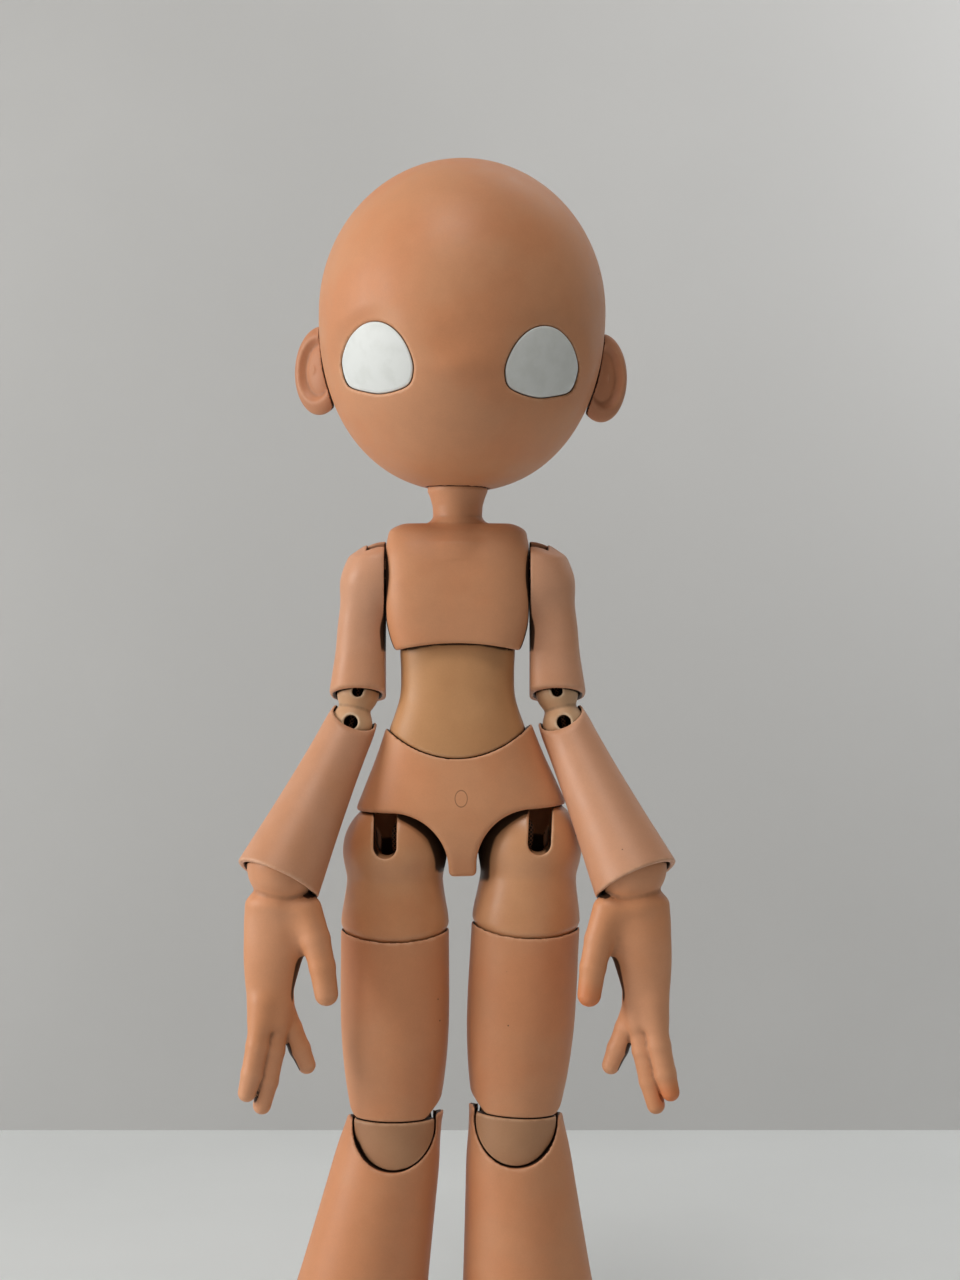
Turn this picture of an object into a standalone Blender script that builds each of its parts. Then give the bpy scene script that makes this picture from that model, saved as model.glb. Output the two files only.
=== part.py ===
"""A ball jointed doll of cast resin, about 0.4 m tall, strung on elastic.

The doll faces -Y and stands on z = 0. Its own right side is at -X. Every casting is modelled in the frame of the
ball it turns on, and the frames hang in one chain that starts at the soles: the ankles stand level, the hips
follow from the reach of each leg, and the pelvis rolls by what the two legs differ.
"""

import math

import bmesh
import bpy
import numpy as np
from mathutils import Matrix, Vector

# Fits and facets
GAP = 0.0003
BALL_GAP = 0.00045
OVERRUN = 0.004
MERGE = 0.00001
BALL_STEPS = 18
BALL_RINGS = 10
SMALL_STEPS = 16
SMALL_RINGS = 8
LIMB_STEPS = 18
TORSO_STEPS = 24
CUP_STEPS = 20
CUP_RINGS = 7
WAIST_CUP_STEPS = 28
BORE_STEPS = 10
TORSO_ROWS = 10
LIMB_ROWS = 8
SLIM_ROWS = 7
NECK_RINGS = 6
SHARP_SLOPE = 40.0

# Stance, in degrees: leans are outward from the vertical, pitches are forward
THIGH_LEAN = {"right": 0.0, "left": -3.0}
SHIN_LEAN = {"right": 11.0, "left": 4.0}
HEAD_ROLL = 1.5
ELBOW_LEAN = 12.0
ELBOW_PITCH = 8.0
FOREARM_LEAN = 24.5
FOREARM_PITCH = 20.0
HAND_LEAN = {"right": 8.0, "left": 9.0}
HAND_PITCH = 3.0

# Head
HEAD_HALF_WIDTH = 0.0429
HEAD_HALF_DEPTH = 0.0435
HEAD_CROWN = 0.0456
HEAD_JAW = 0.0534
JAW_POWER = 2.2
HEAD_WALL = 0.0030
HEAD_STEPS = 26
HEAD_RINGS = 16
CAVITY_STEPS = 16
CAVITY_RINGS = 9
CAP_CUT_SHARE = 0.345
CAP_CUT = CAP_CUT_SHARE * HEAD_HALF_DEPTH
CAP_TRAVEL_SEAT = 0.0003
NECK_SEAT_WALL = 0.0029
NECK_HOLE = 0.0055
MAGNET_RADIUS = 0.0020
MAGNET_THICK = 0.0015
MAGNET_BOSS = 0.0034
MAGNET_BOSS_LENGTH = 0.0045

# Eyes: the outline is drawn as shares of the eye's half width and half height
EYE_HALF_WIDTH = 0.0108
EYE_HALF_HEIGHT = 0.0101
EYE_SPREAD_SHARE = 0.55
EYE_RISE = 0.0352
EYE_RECESS = 0.0005
EYE_STEPS = 20
EYE_OUTLINE_SHARES = (
    (-1.00, -0.10), (-0.94, 0.30), (-0.74, 0.68), (-0.40, 0.95), (-0.02, 1.00), (0.36, 0.84),
    (0.70, 0.48), (0.94, -0.02), (1.00, -0.44), (0.84, -0.82), (0.20, -1.00), (-0.36, -0.90), (-0.82, -0.66),
)

# Ears
EAR_STEPS = 16
EAR_RINGS = 10
EAR_REACH = 0.0088
EAR_THICK = 0.0042
EAR_HALF_HEIGHT = 0.0134
EAR_INSET = 0.0005
EAR_SPREAD = HEAD_HALF_WIDTH - EAR_INSET
EAR_BACK = 0.0045
EAR_RISE = 0.0357
EAR_TURN = 28.0
EAR_BOWL_SHARE = 0.66
EAR_BOWL_FORWARD = 0.0034
EAR_PEG_RADIUS = 0.0022
EAR_PEG_DEPTH = 0.0079
EAR_PEG_REACH = HEAD_HALF_WIDTH - EAR_PEG_DEPTH

# Neck and chest
NECK_BALL = 0.0090
NECK_RISE = 0.0485
NECK_BORE = 0.0042
NECK_PROFILE = ((0.0082, -0.0020), (0.0075, -0.0045), (0.0073, -0.0078), (0.0080, -0.0106), (0.0097, -0.0132),
                (0.0125, -0.0158), (0.0125, -0.0190))
CHEST_HALF_WIDTH = 0.0213
CHEST_HEIGHT = 0.0407
CHEST_FRONT = 0.0150
CHEST_BACK = 0.0128
CHEST_POWER = 3.8
CHEST_DROP = 0.0020
CHEST_SHARES = (
    (0.000, 0.845, 0.880, 0.960), (0.062, 0.873, 0.910, 1.000), (0.123, 0.920, 0.935, 1.000),
    (0.246, 0.985, 0.970, 1.000), (0.393, 1.025, 1.000, 0.985), (0.602, 1.035, 0.985, 0.955),
    (0.786, 1.030, 0.880, 0.920), (0.884, 0.985, 0.750, 0.860), (0.958, 0.930, 0.585, 0.765),
    (1.000, 0.800, 0.400, 0.585),
)
CHEST_ARCH_RADIUS = 0.0756
CHEST_ARCH_RISE = 0.0030
ARM_BORE = 0.0048
SHOULDER_RISE = 0.0225
SHOULDER_BALL = 0.0065
SHOULDER_BALL_INSET = 0.0015
SHOULDER_DOME = 0.0114

# Waist
WAIST_BALL = 0.0239
WAIST_RISE = 0.0478
WAIST_TOP = 0.0107
WAIST_KNUCKLE = 0.0112
WAIST_HALF_WIDTH = 0.0172
WAIST_BORE = 0.0050
WAIST_POWER = 2.5
WAIST_FLARE_DROP = 0.0240
WAIST_SHARES = (
    (-1.00, 1.200, 1.205), (-0.46, 1.165, 1.150), (-0.37, 1.120, 1.125), (-0.25, 1.060, 1.090),
    (-0.12, 1.010, 1.050), (0.04, 0.985, 1.025), (0.22, 0.985, 1.010), (0.446, 1.000, 1.000),
)
WAIST_SOCKET_SHARES = ((0.765, 0.987), (0.850, 0.927), (0.935, 0.704), (0.975, 0.472), (1.000, 0.000))
WAIST_TOP_SHARES = ((0.34, 0.990), (0.65, 0.955), (0.87, 0.890), (0.98, 0.780))

# Pelvis
HIP_SPREAD = 0.0202
HIP_BALL = 0.0156
PELVIS_HALF_WIDTH = 0.0314
PELVIS_FRONT = 0.0165
PELVIS_BACK = 0.0190
PELVIS_DROP = 0.0072
PELVIS_TOP = 0.0400
PELVIS_POWER = 2.3
PELVIS_SHARES = (
    (0.000, 0.96, 0.76, 0.72), (0.170, 0.99, 0.94, 0.93), (0.420, 1.00, 1.00, 1.00),
    (0.545, 0.925, 0.94, 0.92), (0.730, 0.806, 0.84, 0.79), (0.940, 0.690, 0.765, 0.685), (1.000, 0.66, 0.75, 0.66),
)
LEG_OPENING = 0.0165
LEG_OPENING_SPREAD = 0.0206
LEG_OPENING_DROP = 0.0045
STRING_BORE = 0.0034
STRING_MEET = 0.0270
STRING_DROP = 0.0134
STRING_SHARE = 0.72
STRING_END_SHARES = (0.14, 0.94)
HIP_FUNNEL = 0.0098

# Upper thigh and thigh
THIGH_HALF_WIDTH = 0.0162
THIGH_DEPTH = 0.0150
THIGH_BALL = 0.0174
THIGH_BALL_DROP = 0.0153
THIGH_BORE = 0.0040
HIP_SLOT = 0.0034
HIP_SLOT_OUT = 0.0024
HIP_SLOT_FLOOR = 0.0011
UPPER_THIGH_FOOT = 0.0340
UPPER_THIGH_SHARES = (
    (-1.00, 1.000, 0.985), (-0.66, 1.000, 0.985), (-0.56, 0.982, 0.975), (-0.42, 0.932, 0.960),
    (-0.28, 0.890, 0.940), (-0.12, 0.885, 0.925), (0.06, 0.860, 0.880),
)
KNEE_DROP = 0.0690
THIGH_RIM = 0.0098
THIGH_SHARES = (
    (0.000, 0.815, 0.850), (0.060, 0.845, 0.870), (0.150, 0.900, 0.910), (0.260, 0.950, 0.960),
    (0.400, 0.990, 1.000), (0.560, 1.005, 1.010), (0.800, 1.000, 0.995), (1.000, 1.000, 0.985),
)
THIGH_CHAMFER_OUT = 0.0116
THIGH_CHAMFER_IN = 0.0092
THIGH_CHAMFER_SLOPE = 45.0

# Knee
KNEE_BALL = 0.0110
KNEE_SPAN = 0.0120
KNEE_LINK = 0.0090
KNEECAP_RADIUS = 0.0119
KNEECAP_INNER = 0.0040
KNEECAP_SEAT = 0.0007
KNEECAP_FRONT = 0.0131
KNEECAP_WIDTH = 0.0128
KNEE_BACK_CUT = 0.0060
LEG_BORE = 0.0032

# Shin
SHIN_LENGTH = 0.0825
SHIN_RIM_DROP = 0.0095
SHIN_EAR = 0.0026
SHIN_EAR_SLOPE = 3.0
SHIN_TOP_WIDTH = 0.0138
SHIN_FOOT_WIDTH = 0.0245
SHIN_DEPTH_SHARE = 0.95
SHIN_SHARES = (
    (0.00, 1.00), (0.24, 0.74), (0.48, 0.49), (0.61, 0.375), (0.74, 0.265), (0.87, 0.150), (0.95, 0.045),
    (1.00, 0.000),
)
BELL_START = 0.0012
BELL_MOUTH = 0.0210

# Foot
ANKLE_HEIGHT = 0.0300
ANKLE_BALL = 0.0130
FOOT_FRONT = 0.0410
FOOT_BACK = 0.0175
FOOT_HALF_WIDTH = 0.0132
FOOT_SHARES = (
    (0.00, 0.93, 0.965, 0.940), (0.05, 0.975, 0.990, 0.975), (0.17, 1.000, 1.000, 1.000),
    (0.34, 0.985, 0.840, 0.970), (0.52, 0.930, 0.470, 0.830), (0.70, 0.860, 0.350, 0.710),
    (0.88, 0.790, 0.255, 0.610),
)
FOOT_POWER = 2.3

# Upper arm
ARM_PLANE_GAP = 0.0003
ARM_WIDTH = 0.0168
ARM_DEPTH = 0.0088
ELBOW_DROP = 0.0345
ARM_RIM = 0.0038
ARM_RIM_SLOPE = 18.0
ARM_RIM_CUT = 0.0007
ARM_INNER = 0.0008
ELBOW_OUT_SHARE = 0.49
ARM_SHARES = (
    (0.000, 1.000, 1.000), (0.110, 0.995, 1.000), (0.200, 0.960, 0.970), (0.380, 0.890, 0.930),
    (0.560, 0.850, 0.960), (0.730, 0.790, 1.040), (0.880, 0.740, 1.120), (1.000, 0.600, 1.000),
)
ARM_TOP = 0.0050
ARM_POWER = 2.4
ARM_STRING_BORE = 0.0034
ARM_DOWN_BORE = 0.0031
SHOULDER_SLOT_FRONT = 0.0066
SHOULDER_SLOT_BACK = 0.0022
SHOULDER_SLOT_FLOOR = 0.0007
SHOULDER_SLOT_REACH = 0.0054

# Elbow
ELBOW_BALL = 0.0063
ELBOW_SPAN = 0.0095
ELBOW_LINK = 0.0046
ELBOW_BORE = 0.0023
ELBOW_SLOT = 0.0016
ELBOW_HOLE = 0.0021

# Forearm
FOREARM_LENGTH = 0.0480
FOREARM_RIM_DROP = 0.0042
FOREARM_TOP = 0.0036
FOREARM_TOP_WIDTH = 0.0074
FOREARM_CUFF_WIDTH = 0.0129
FOREARM_DEPTH_SHARE = 0.97
FOREARM_SHARES = (
    (0.00, 1.00), (0.10, 0.88), (0.30, 0.625), (0.47, 0.43), (0.64, 0.255), (0.81, 0.115), (0.93, 0.030),
    (1.00, -0.08),
)
FOREARM_RIM_SLOPE = 47.0
FOREARM_RIM_SIDE = 0.0040
FOREARM_BORE = 0.0034

# Hand, shares of its length below the wrist and of its breadth
WRIST_BALL = 0.0106
HAND_LENGTH = 0.0460
HAND_BREADTH = 0.0105
PALM_THICK = 0.0081
PALM_SHARES = (
    (-1.00, 0.200, 0.520, 0.44), (-0.87, 0.140, 0.600, 0.52), (-0.74, 0.080, 0.690, 0.60),
    (-0.59, 0.055, 0.800, 0.70), (-0.48, 0.060, 0.870, 0.76), (-0.33, 0.060, 0.950, 0.82),
    (-0.235, 0.020, 0.910, 0.93), (-0.185, 0.000, 0.760, 0.86), (-0.08, 0.000, 0.550, 0.72),
)
FINGER_RADIUS = 0.0033
FINGERS = {
    "index": (
        (0.0000, -0.0014, -0.0400), (0.0000, -0.0020, -0.0520), (0.0004, -0.0024, -0.0600),
        (0.0010, -0.0024, -0.0655),
    ),
    "middle": (
        (-0.0044, 0.0012, -0.0400), (-0.0046, 0.0012, -0.0530), (-0.0042, 0.0010, -0.0620),
        (-0.0036, 0.0008, -0.0690),
    ),
    "ring": (
        (-0.0045, 0.0022, -0.0390), (-0.0085, 0.0042, -0.0465), (-0.0118, 0.0052, -0.0520),
        (-0.0145, 0.0056, -0.0565),
    ),
}
FINGER_TAPER_SHARES = (1.05, 1.00, 0.94, 0.80)
THUMB_RADIUS = 0.0036
THUMB = (
    (-0.0085, -0.0030, -0.0110), (-0.0125, -0.0040, -0.0190), (-0.0155, -0.0048, -0.0265),
    (-0.0178, -0.0052, -0.0340),
)
THUMB_TAPER_SHARES = (1.25, 1.15, 1.05, 0.95)
FINGERTIP_SHARES = ((0.50, 0.86), (0.86, 0.50))
STEM_SLOT = 0.0017
WRIST_SLOT_SHARES = (-0.16, 0.72)
ANKLE_SLOT_SHARES = (-0.55, 0.55)

# Wire hooks and their cross bars
HOOK_WIRE = 0.0006
HOOK_BAR = 0.0008
HOOK_HALF_WIDTH = 0.0019
HOOK_CORNER_SHARE = 0.4
HOOK_SWING_SHARE = 0.7
HOOK_REACH = 0.0056
NECK_HOOK_HALF = 0.0031
NECK_HOOK_DROP = 0.0090
NECK_BAR_HALF = 0.0080
NECK_BAR_RISE = 0.0122
LIMB_BAR_HALF = 0.0045

# Elastic: strand radius, half spacing of the strands and the bend round a hook's wire
STRAND = 0.0008
STRAND_SPACING = 0.0010
HOOK_BEND = 0.0018
CHEST_BYPASS = 0.0034
STRING_SPREAD = 0.0013
ARM_STRING_SHARES = (0.7, 1.6)
ELBOW_STRING_SHARE = 0.85

SIDES = {"right": -1.0, "left": 1.0}


def clear_scene():
    for item in list(bpy.data.objects):
        bpy.data.objects.remove(item, do_unlink=True)


def collection(name):
    made = bpy.data.collections.new(name)
    bpy.context.scene.collection.children.link(made)
    return made


def finish(name, colour, roughness, metallic=0.0):
    made = bpy.data.materials.new(name)
    made.use_nodes = True
    shader = made.node_tree.nodes["Principled BSDF"]
    shader.inputs["Base Color"].default_value = (*colour, 1.0)
    shader.inputs["Roughness"].default_value = roughness
    shader.inputs["Metallic"].default_value = metallic
    return made


def turned(side, lean, pitch):
    """Rotation of a frame whose -Z leans outward on its side and pitches forward."""
    return Matrix.Rotation(math.radians(-side * lean), 4, "Y") @ Matrix.Rotation(math.radians(-pitch), 4, "X")


clear_scene()
DOLL = collection("ball_jointed_doll")
CUTTERS = collection("cutters")
CUTTERS.hide_render = True
FRAMES = {}

RESIN = finish("peach_resin", (0.62, 0.33, 0.21), 0.48)
EAR_RESIN = finish("brown_resin", (0.55, 0.29, 0.18), 0.50)
WAIST_RESIN = finish("tan_resin", (0.56, 0.33, 0.20), 0.50)
KNUCKLE_RESIN = finish("grey_tan_resin", (0.46, 0.28, 0.18), 0.55)
WHITE_RESIN = finish("white_resin", (0.80, 0.83, 0.83), 0.55)
STEEL = finish("steel_wire", (0.55, 0.55, 0.56), 0.30, 1.0)
NICKEL = finish("nickel", (0.60, 0.60, 0.62), 0.25, 1.0)
ELASTIC = finish("black_elastic", (0.02, 0.02, 0.02), 0.80)


def frame(name, parent, place, turn):
    """An empty on a joint's centre: place is in the parent's axes, turn is the frame's world rotation."""
    start = FRAMES[parent].matrix_basis if parent else Matrix()
    world = Matrix.Translation(start @ Vector(place)) @ turn
    empty = bpy.data.objects.new(f"frame_{name}", None)
    DOLL.objects.link(empty)
    if parent:
        empty.parent = FRAMES[parent]
        empty.matrix_parent_inverse = start.inverted()
    empty.matrix_basis = world
    FRAMES[name] = empty
    return world


def carried(made, on):
    """Hangs an object on a frame with its own origin at the frame's."""
    made.parent = FRAMES[on]
    return made


def mesh_object(name, mesh, on, material=None):
    made = bpy.data.objects.new(name, mesh)
    if material:
        mesh.materials.clear()
        mesh.materials.append(material)
        DOLL.objects.link(made)
        mesh.shade_smooth()
        mesh.set_sharp_from_angle(angle=math.radians(SHARP_SLOPE))
    else:
        CUTTERS.objects.link(made)
        made.hide_render = True
        made.display_type = "WIRE"
    return carried(made, on)


def from_bmesh(name, shape, on, material=None):
    bmesh.ops.recalc_face_normals(shape, faces=shape.faces)
    mesh = bpy.data.meshes.new(name)
    shape.to_mesh(mesh)
    shape.free()
    return mesh_object(name, mesh, on, material)


def joined(target, operation, *others):
    """Adds one Boolean per other object: UNION, DIFFERENCE or INTERSECT."""
    for other in others:
        step = target.modifiers.new(f"{operation.lower()}_{other.name}", "BOOLEAN")
        step.operation = operation
        step.solver = "EXACT"
        step.object = other
    return target


def cut(target, *cutters):
    return joined(target, "DIFFERENCE", *cutters)


def added(target, *others):
    return joined(target, "UNION", *others)


def kept(target, *others):
    return joined(target, "INTERSECT", *others)


def ball(name, on, radius, centre=(0, 0, 0), steps=BALL_STEPS, rings=BALL_RINGS, material=None):
    shape = bmesh.new()
    half_step = Matrix.Rotation(math.pi / steps, 4, "Z")
    bmesh.ops.create_uvsphere(shape, u_segments=steps, v_segments=rings, radius=radius, matrix=half_step)
    bmesh.ops.translate(shape, vec=Vector(centre), verts=shape.verts)
    return from_bmesh(name, shape, on, material)


def drum(name, on, radius, start, end, steps=BORE_STEPS, end_radius=None, material=None):
    """A cylinder, or a cone with end_radius, from start to end."""
    start = Vector(start)
    along = Vector(end) - start
    turn = along.to_track_quat("Z", "Y").to_matrix().to_4x4()
    shape = bmesh.new()
    bmesh.ops.create_cone(
        shape,
        cap_ends=True,
        segments=steps,
        radius1=radius,
        radius2=radius if end_radius is None else end_radius,
        depth=along.length,
        matrix=Matrix.Translation(start + along / 2) @ turn,
    )
    return from_bmesh(name, shape, on, material)


def block(name, on, low, high, turn=None, pivot=(0, 0, 0)):
    """A box from low to high, turned about pivot."""
    low = Vector(low)
    high = Vector(high)
    shape = bmesh.new()
    bmesh.ops.create_cube(shape, size=1)
    for vert in shape.verts:
        vert.co = Vector(low[i] + (high[i] - low[i]) * (vert.co[i] + 0.5) for i in range(3))
    if turn:
        bmesh.ops.rotate(shape, cent=Vector(pivot), matrix=turn.to_3x3(), verts=shape.verts)
    return from_bmesh(name, shape, on)


def bullet(name, on, radius, height, steps=CUP_STEPS):
    """A hemisphere below its centre with a cylinder of the same radius above it: the end of a limb that turns."""
    arc = [(radius * math.cos(a), -radius * math.sin(a)) for a in np.linspace(0, math.pi / 2, CUP_RINGS)]
    arc[-1] = (0.0, -radius)
    return revolved(name, on, [(0.0, height), (radius, height)] + arc, steps)


def revolved(name, on, profile, steps=LIMB_STEPS, material=None, axis="Z"):
    """A turned shape about Z or X: the profile's (radius, place on the axis) points run down the outer side."""
    mesh = bpy.data.meshes.new(name)
    points = [(radius, 0, height) if axis == "Z" else (height, 0, radius) for radius, height in profile]
    mesh.from_pydata(points, [(i, i + 1) for i in range(len(points) - 1)], [])
    made = mesh_object(name, mesh, on, material)
    screw = made.modifiers.new("turn", "SCREW")
    screw.axis = axis
    screw.steps = steps
    screw.render_steps = steps
    screw.use_merge_vertices = True
    screw.merge_threshold = MERGE
    screw.use_smooth_shade = True
    return made


def eased(rows, count):
    """Rows read at evenly spaced heights from a smooth curve through the given ones, whose first value climbs."""
    rows = np.array(rows, float)
    height = rows[:, 0]
    slope = np.gradient(rows, height, axis=0)
    at = np.linspace(height[0], height[-1], count)
    i = np.searchsorted(height[1:-1], at, side="right")
    span = (height[i + 1] - height[i])[:, None]
    u = (at - height[i])[:, None] / span
    lower = rows[i] * (2 * u**3 - 3 * u**2 + 1) + slope[i] * span * (u**3 - 2 * u**2 + u)
    upper = rows[i + 1] * (3 * u**2 - 2 * u**3) + slope[i + 1] * span * (u**3 - u**2)
    return lower + upper


def loft(name, on, rows, material=None, steps=LIMB_STEPS, power=2.0):
    """A skin through level rings (height, centre x, half width, front, back), each a rounded oval; flat ends."""
    shape = bmesh.new()
    rings = []
    for height, centre, half_width, front, back in rows:
        ring = []
        for i in range(steps):
            angle = 2 * math.pi * i / steps
            across = math.copysign(abs(math.cos(angle)) ** (2 / power), math.cos(angle))
            deep = math.copysign(abs(math.sin(angle)) ** (2 / power), math.sin(angle))
            ring.append(shape.verts.new((centre + half_width * across, deep * (back if deep > 0 else front), height)))
        rings.append(ring)
    for lower, upper in zip(rings, rings[1:]):
        for i in range(steps):
            j = (i + 1) % steps
            shape.faces.new((lower[i], lower[j], upper[j], upper[i]))
    shape.faces.new(rings[0][::-1])
    shape.faces.new(rings[-1])
    return from_bmesh(name, shape, on, material)


def egg(name, on, inset=0.0, steps=HEAD_STEPS, rings=HEAD_RINGS, material=None):
    """The skull: half an ellipsoid above its widest level and a fuller one below, drawn in by inset."""
    half_width = HEAD_HALF_WIDTH - inset
    half_depth = HEAD_HALF_DEPTH - inset
    shape = bmesh.new()
    bmesh.ops.create_uvsphere(shape, u_segments=steps, v_segments=rings, radius=1)
    for vert in shape.verts:
        level = vert.co.z
        round_level = math.sqrt(max(0, 1 - level * level))
        if level < 0 and round_level > MERGE:
            full = (1 - abs(level) ** JAW_POWER) ** (1 / JAW_POWER) / round_level
        else:
            full = 1
        reach = (HEAD_CROWN if level > 0 else HEAD_JAW) - inset
        vert.co = Vector((vert.co.x * full * half_width, vert.co.y * full * half_depth, HEAD_JAW + level * reach))
    return from_bmesh(name, shape, on, material)


def as_mesh(curve_object, name, on, material=None):
    """A curve made a closed mesh, with its caps welded on."""
    bpy.context.view_layer.update()
    graph = bpy.context.evaluated_depsgraph_get()
    mesh = bpy.data.meshes.new_from_object(curve_object.evaluated_get(graph))
    shape = bmesh.new()
    shape.from_mesh(mesh)
    bmesh.ops.remove_doubles(shape, verts=shape.verts, dist=MERGE)
    bpy.data.objects.remove(curve_object, do_unlink=True)
    bpy.data.meshes.remove(mesh)
    return from_bmesh(name, shape, on, material)


def wire(name, points, radius, tapers=None, closed=False, resolution=2):
    """A round wire through points, as a curve object in the frame's own axes."""
    curve = bpy.data.curves.new(name, "CURVE")
    curve.dimensions = "3D"
    curve.bevel_depth = radius
    curve.bevel_resolution = resolution
    curve.use_fill_caps = not closed
    spline = curve.splines.new("POLY")
    spline.points.add(len(points[1:]))
    for i, (point, place) in enumerate(zip(spline.points, points)):
        point.co = (*place, 1.0)
        point.radius = tapers[i] if tapers else 1.0
    spline.use_cyclic_u = closed
    made = bpy.data.objects.new(name, curve)
    bpy.context.scene.collection.objects.link(made)
    return made


def digit(name, on, side, path, radius, tapers):
    """A finger: a tapered round along its path with a domed tip."""
    points = [Vector((side * x, y, z)) for x, y, z in path]
    end = (points[-1] - points[-2]).normalized()
    tip = radius * tapers[-1]
    shares = list(tapers)
    for reach, width in FINGERTIP_SHARES:
        points.append(points[len(path) - 1] + end * tip * reach)
        shares.append(tapers[-1] * width)
    return as_mesh(wire(f"{name}_line", points, radius, shares), name, on)


def prism(name, on, outline, start, end, material=None):
    """A column along Y over an outline of (x, z) points."""
    shape = bmesh.new()
    faces = []
    for depth in (start, end):
        faces.append([shape.verts.new((x, depth, z)) for x, z in outline])
    for i in range(len(outline)):
        j = (i + 1) % len(outline)
        shape.faces.new((faces[0][i], faces[0][j], faces[1][j], faces[1][i]))
    shape.faces.new(faces[0])
    shape.faces.new(faces[1][::-1])
    return from_bmesh(name, shape, on, material)


def round_outline(points, count):
    """A closed outline read from a smooth curve through the given points."""
    points = np.array(points, float)
    total = len(points)
    at = np.linspace(0, total, count, endpoint=False)
    i = at.astype(int)
    u = (at - i)[:, None]
    before, here, after, beyond = (points[(i + k) % total] for k in (-1, 0, 1, 2))
    curve = 2 * here + (after - before) * u + (2 * before - 5 * here + 4 * after - beyond) * u**2
    return (curve + (3 * here - before - 3 * after + beyond) * u**3) / 2


def stadium(name, on, half_width, low, high, front, back, centre=0.0):
    """A slot cutter along Y with a round lower end at low and a flat top at high."""
    base = low + half_width
    arc = [math.pi + math.pi * i / (BORE_STEPS // 2) for i in range(BORE_STEPS // 2 + 1)]
    outline = [(centre + half_width * math.cos(a), base + half_width * math.sin(a)) for a in arc]
    outline += [(centre + half_width, high), (centre - half_width, high)]
    return prism(name, on, outline, front, back)


def set_up_frames():
    """Stands the chain of frames on level ankles."""
    reach = {}
    for name in SIDES:
        thigh = (KNEE_DROP + KNEE_SPAN) * math.cos(math.radians(THIGH_LEAN[name]))
        reach[name] = thigh + SHIN_LENGTH * math.cos(math.radians(SHIN_LEAN[name]))
    hip_line = ANKLE_HEIGHT + (reach["left"] + reach["right"]) / 2
    roll = math.asin((reach["left"] - reach["right"]) / (2 * HIP_SPREAD))
    sway = WAIST_RISE * math.sin(roll)
    upright = Matrix()
    frame("pelvis", None, (sway / 2, 0, hip_line), Matrix.Rotation(-roll, 4, "Y"))
    frame("waist", "pelvis", (0, 0, WAIST_RISE), upright)
    frame("chest", "waist", (0, 0, WAIST_TOP), upright)
    frame("neck", "chest", (0, 0, NECK_RISE), upright)
    frame("head", "neck", (0, 0, 0), Matrix.Rotation(math.radians(HEAD_ROLL), 4, "Y"))
    for name, side in SIDES.items():
        thigh = turned(side, THIGH_LEAN[name], 0)
        shin = turned(side, SHIN_LEAN[name], 0)
        elbow = turned(side, ELBOW_LEAN, ELBOW_PITCH)
        forearm = turned(side, FOREARM_LEAN, FOREARM_PITCH)
        frame(f"hip_{name}", "pelvis", (side * HIP_SPREAD, 0, 0), thigh)
        frame(f"thigh_{name}", f"hip_{name}", (0, 0, -THIGH_BALL_DROP), thigh)
        frame(f"knee_{name}", f"hip_{name}", (0, 0, -KNEE_DROP), thigh)
        frame(f"shin_{name}", f"knee_{name}", (0, 0, -KNEE_SPAN), shin)
        frame(f"ankle_hook_{name}", f"shin_{name}", (0, 0, -SHIN_LENGTH), shin)
        frame(f"foot_{name}", f"ankle_hook_{name}", (0, 0, 0), upright)
        arm_face = CHEST_HALF_WIDTH + ARM_PLANE_GAP
        elbow_out = ELBOW_OUT_SHARE * ARM_WIDTH
        frame(f"arm_{name}", "chest", (side * arm_face, 0, SHOULDER_RISE), upright)
        frame(f"elbow_{name}", f"arm_{name}", (side * elbow_out, 0, -ELBOW_DROP), elbow)
        frame(f"forearm_{name}", f"elbow_{name}", (0, 0, -ELBOW_SPAN), forearm)
        frame(f"wrist_hook_{name}", f"forearm_{name}", (0, 0, -FOREARM_LENGTH), forearm)
        frame(f"hand_{name}", f"wrist_hook_{name}", (0, 0, 0), turned(side, HAND_LEAN[name], HAND_PITCH))


def eye_outline(side, inset):
    outline = []
    for across, up in EYE_OUTLINE_SHARES:
        x = side * (EYE_SPREAD_SHARE * HEAD_HALF_WIDTH - across * (EYE_HALF_WIDTH - inset))
        outline.append((x, EYE_RISE + up * (EYE_HALF_HEIGHT - inset)))
    return round_outline(outline, EYE_STEPS)


def magnet_heights():
    """Heights of the two pairs of cap magnets, against the shell's inner wall at the cap's cut."""
    share = CAP_CUT / HEAD_HALF_DEPTH
    top = HEAD_JAW + HEAD_CROWN * math.sqrt(1 - share * share)
    bottom = HEAD_JAW - HEAD_JAW * (1 - share**JAW_POWER) ** (1 / JAW_POWER)
    inward = HEAD_WALL + MAGNET_BOSS / 2
    return {"top": top - inward, "bottom": bottom + inward}


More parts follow.
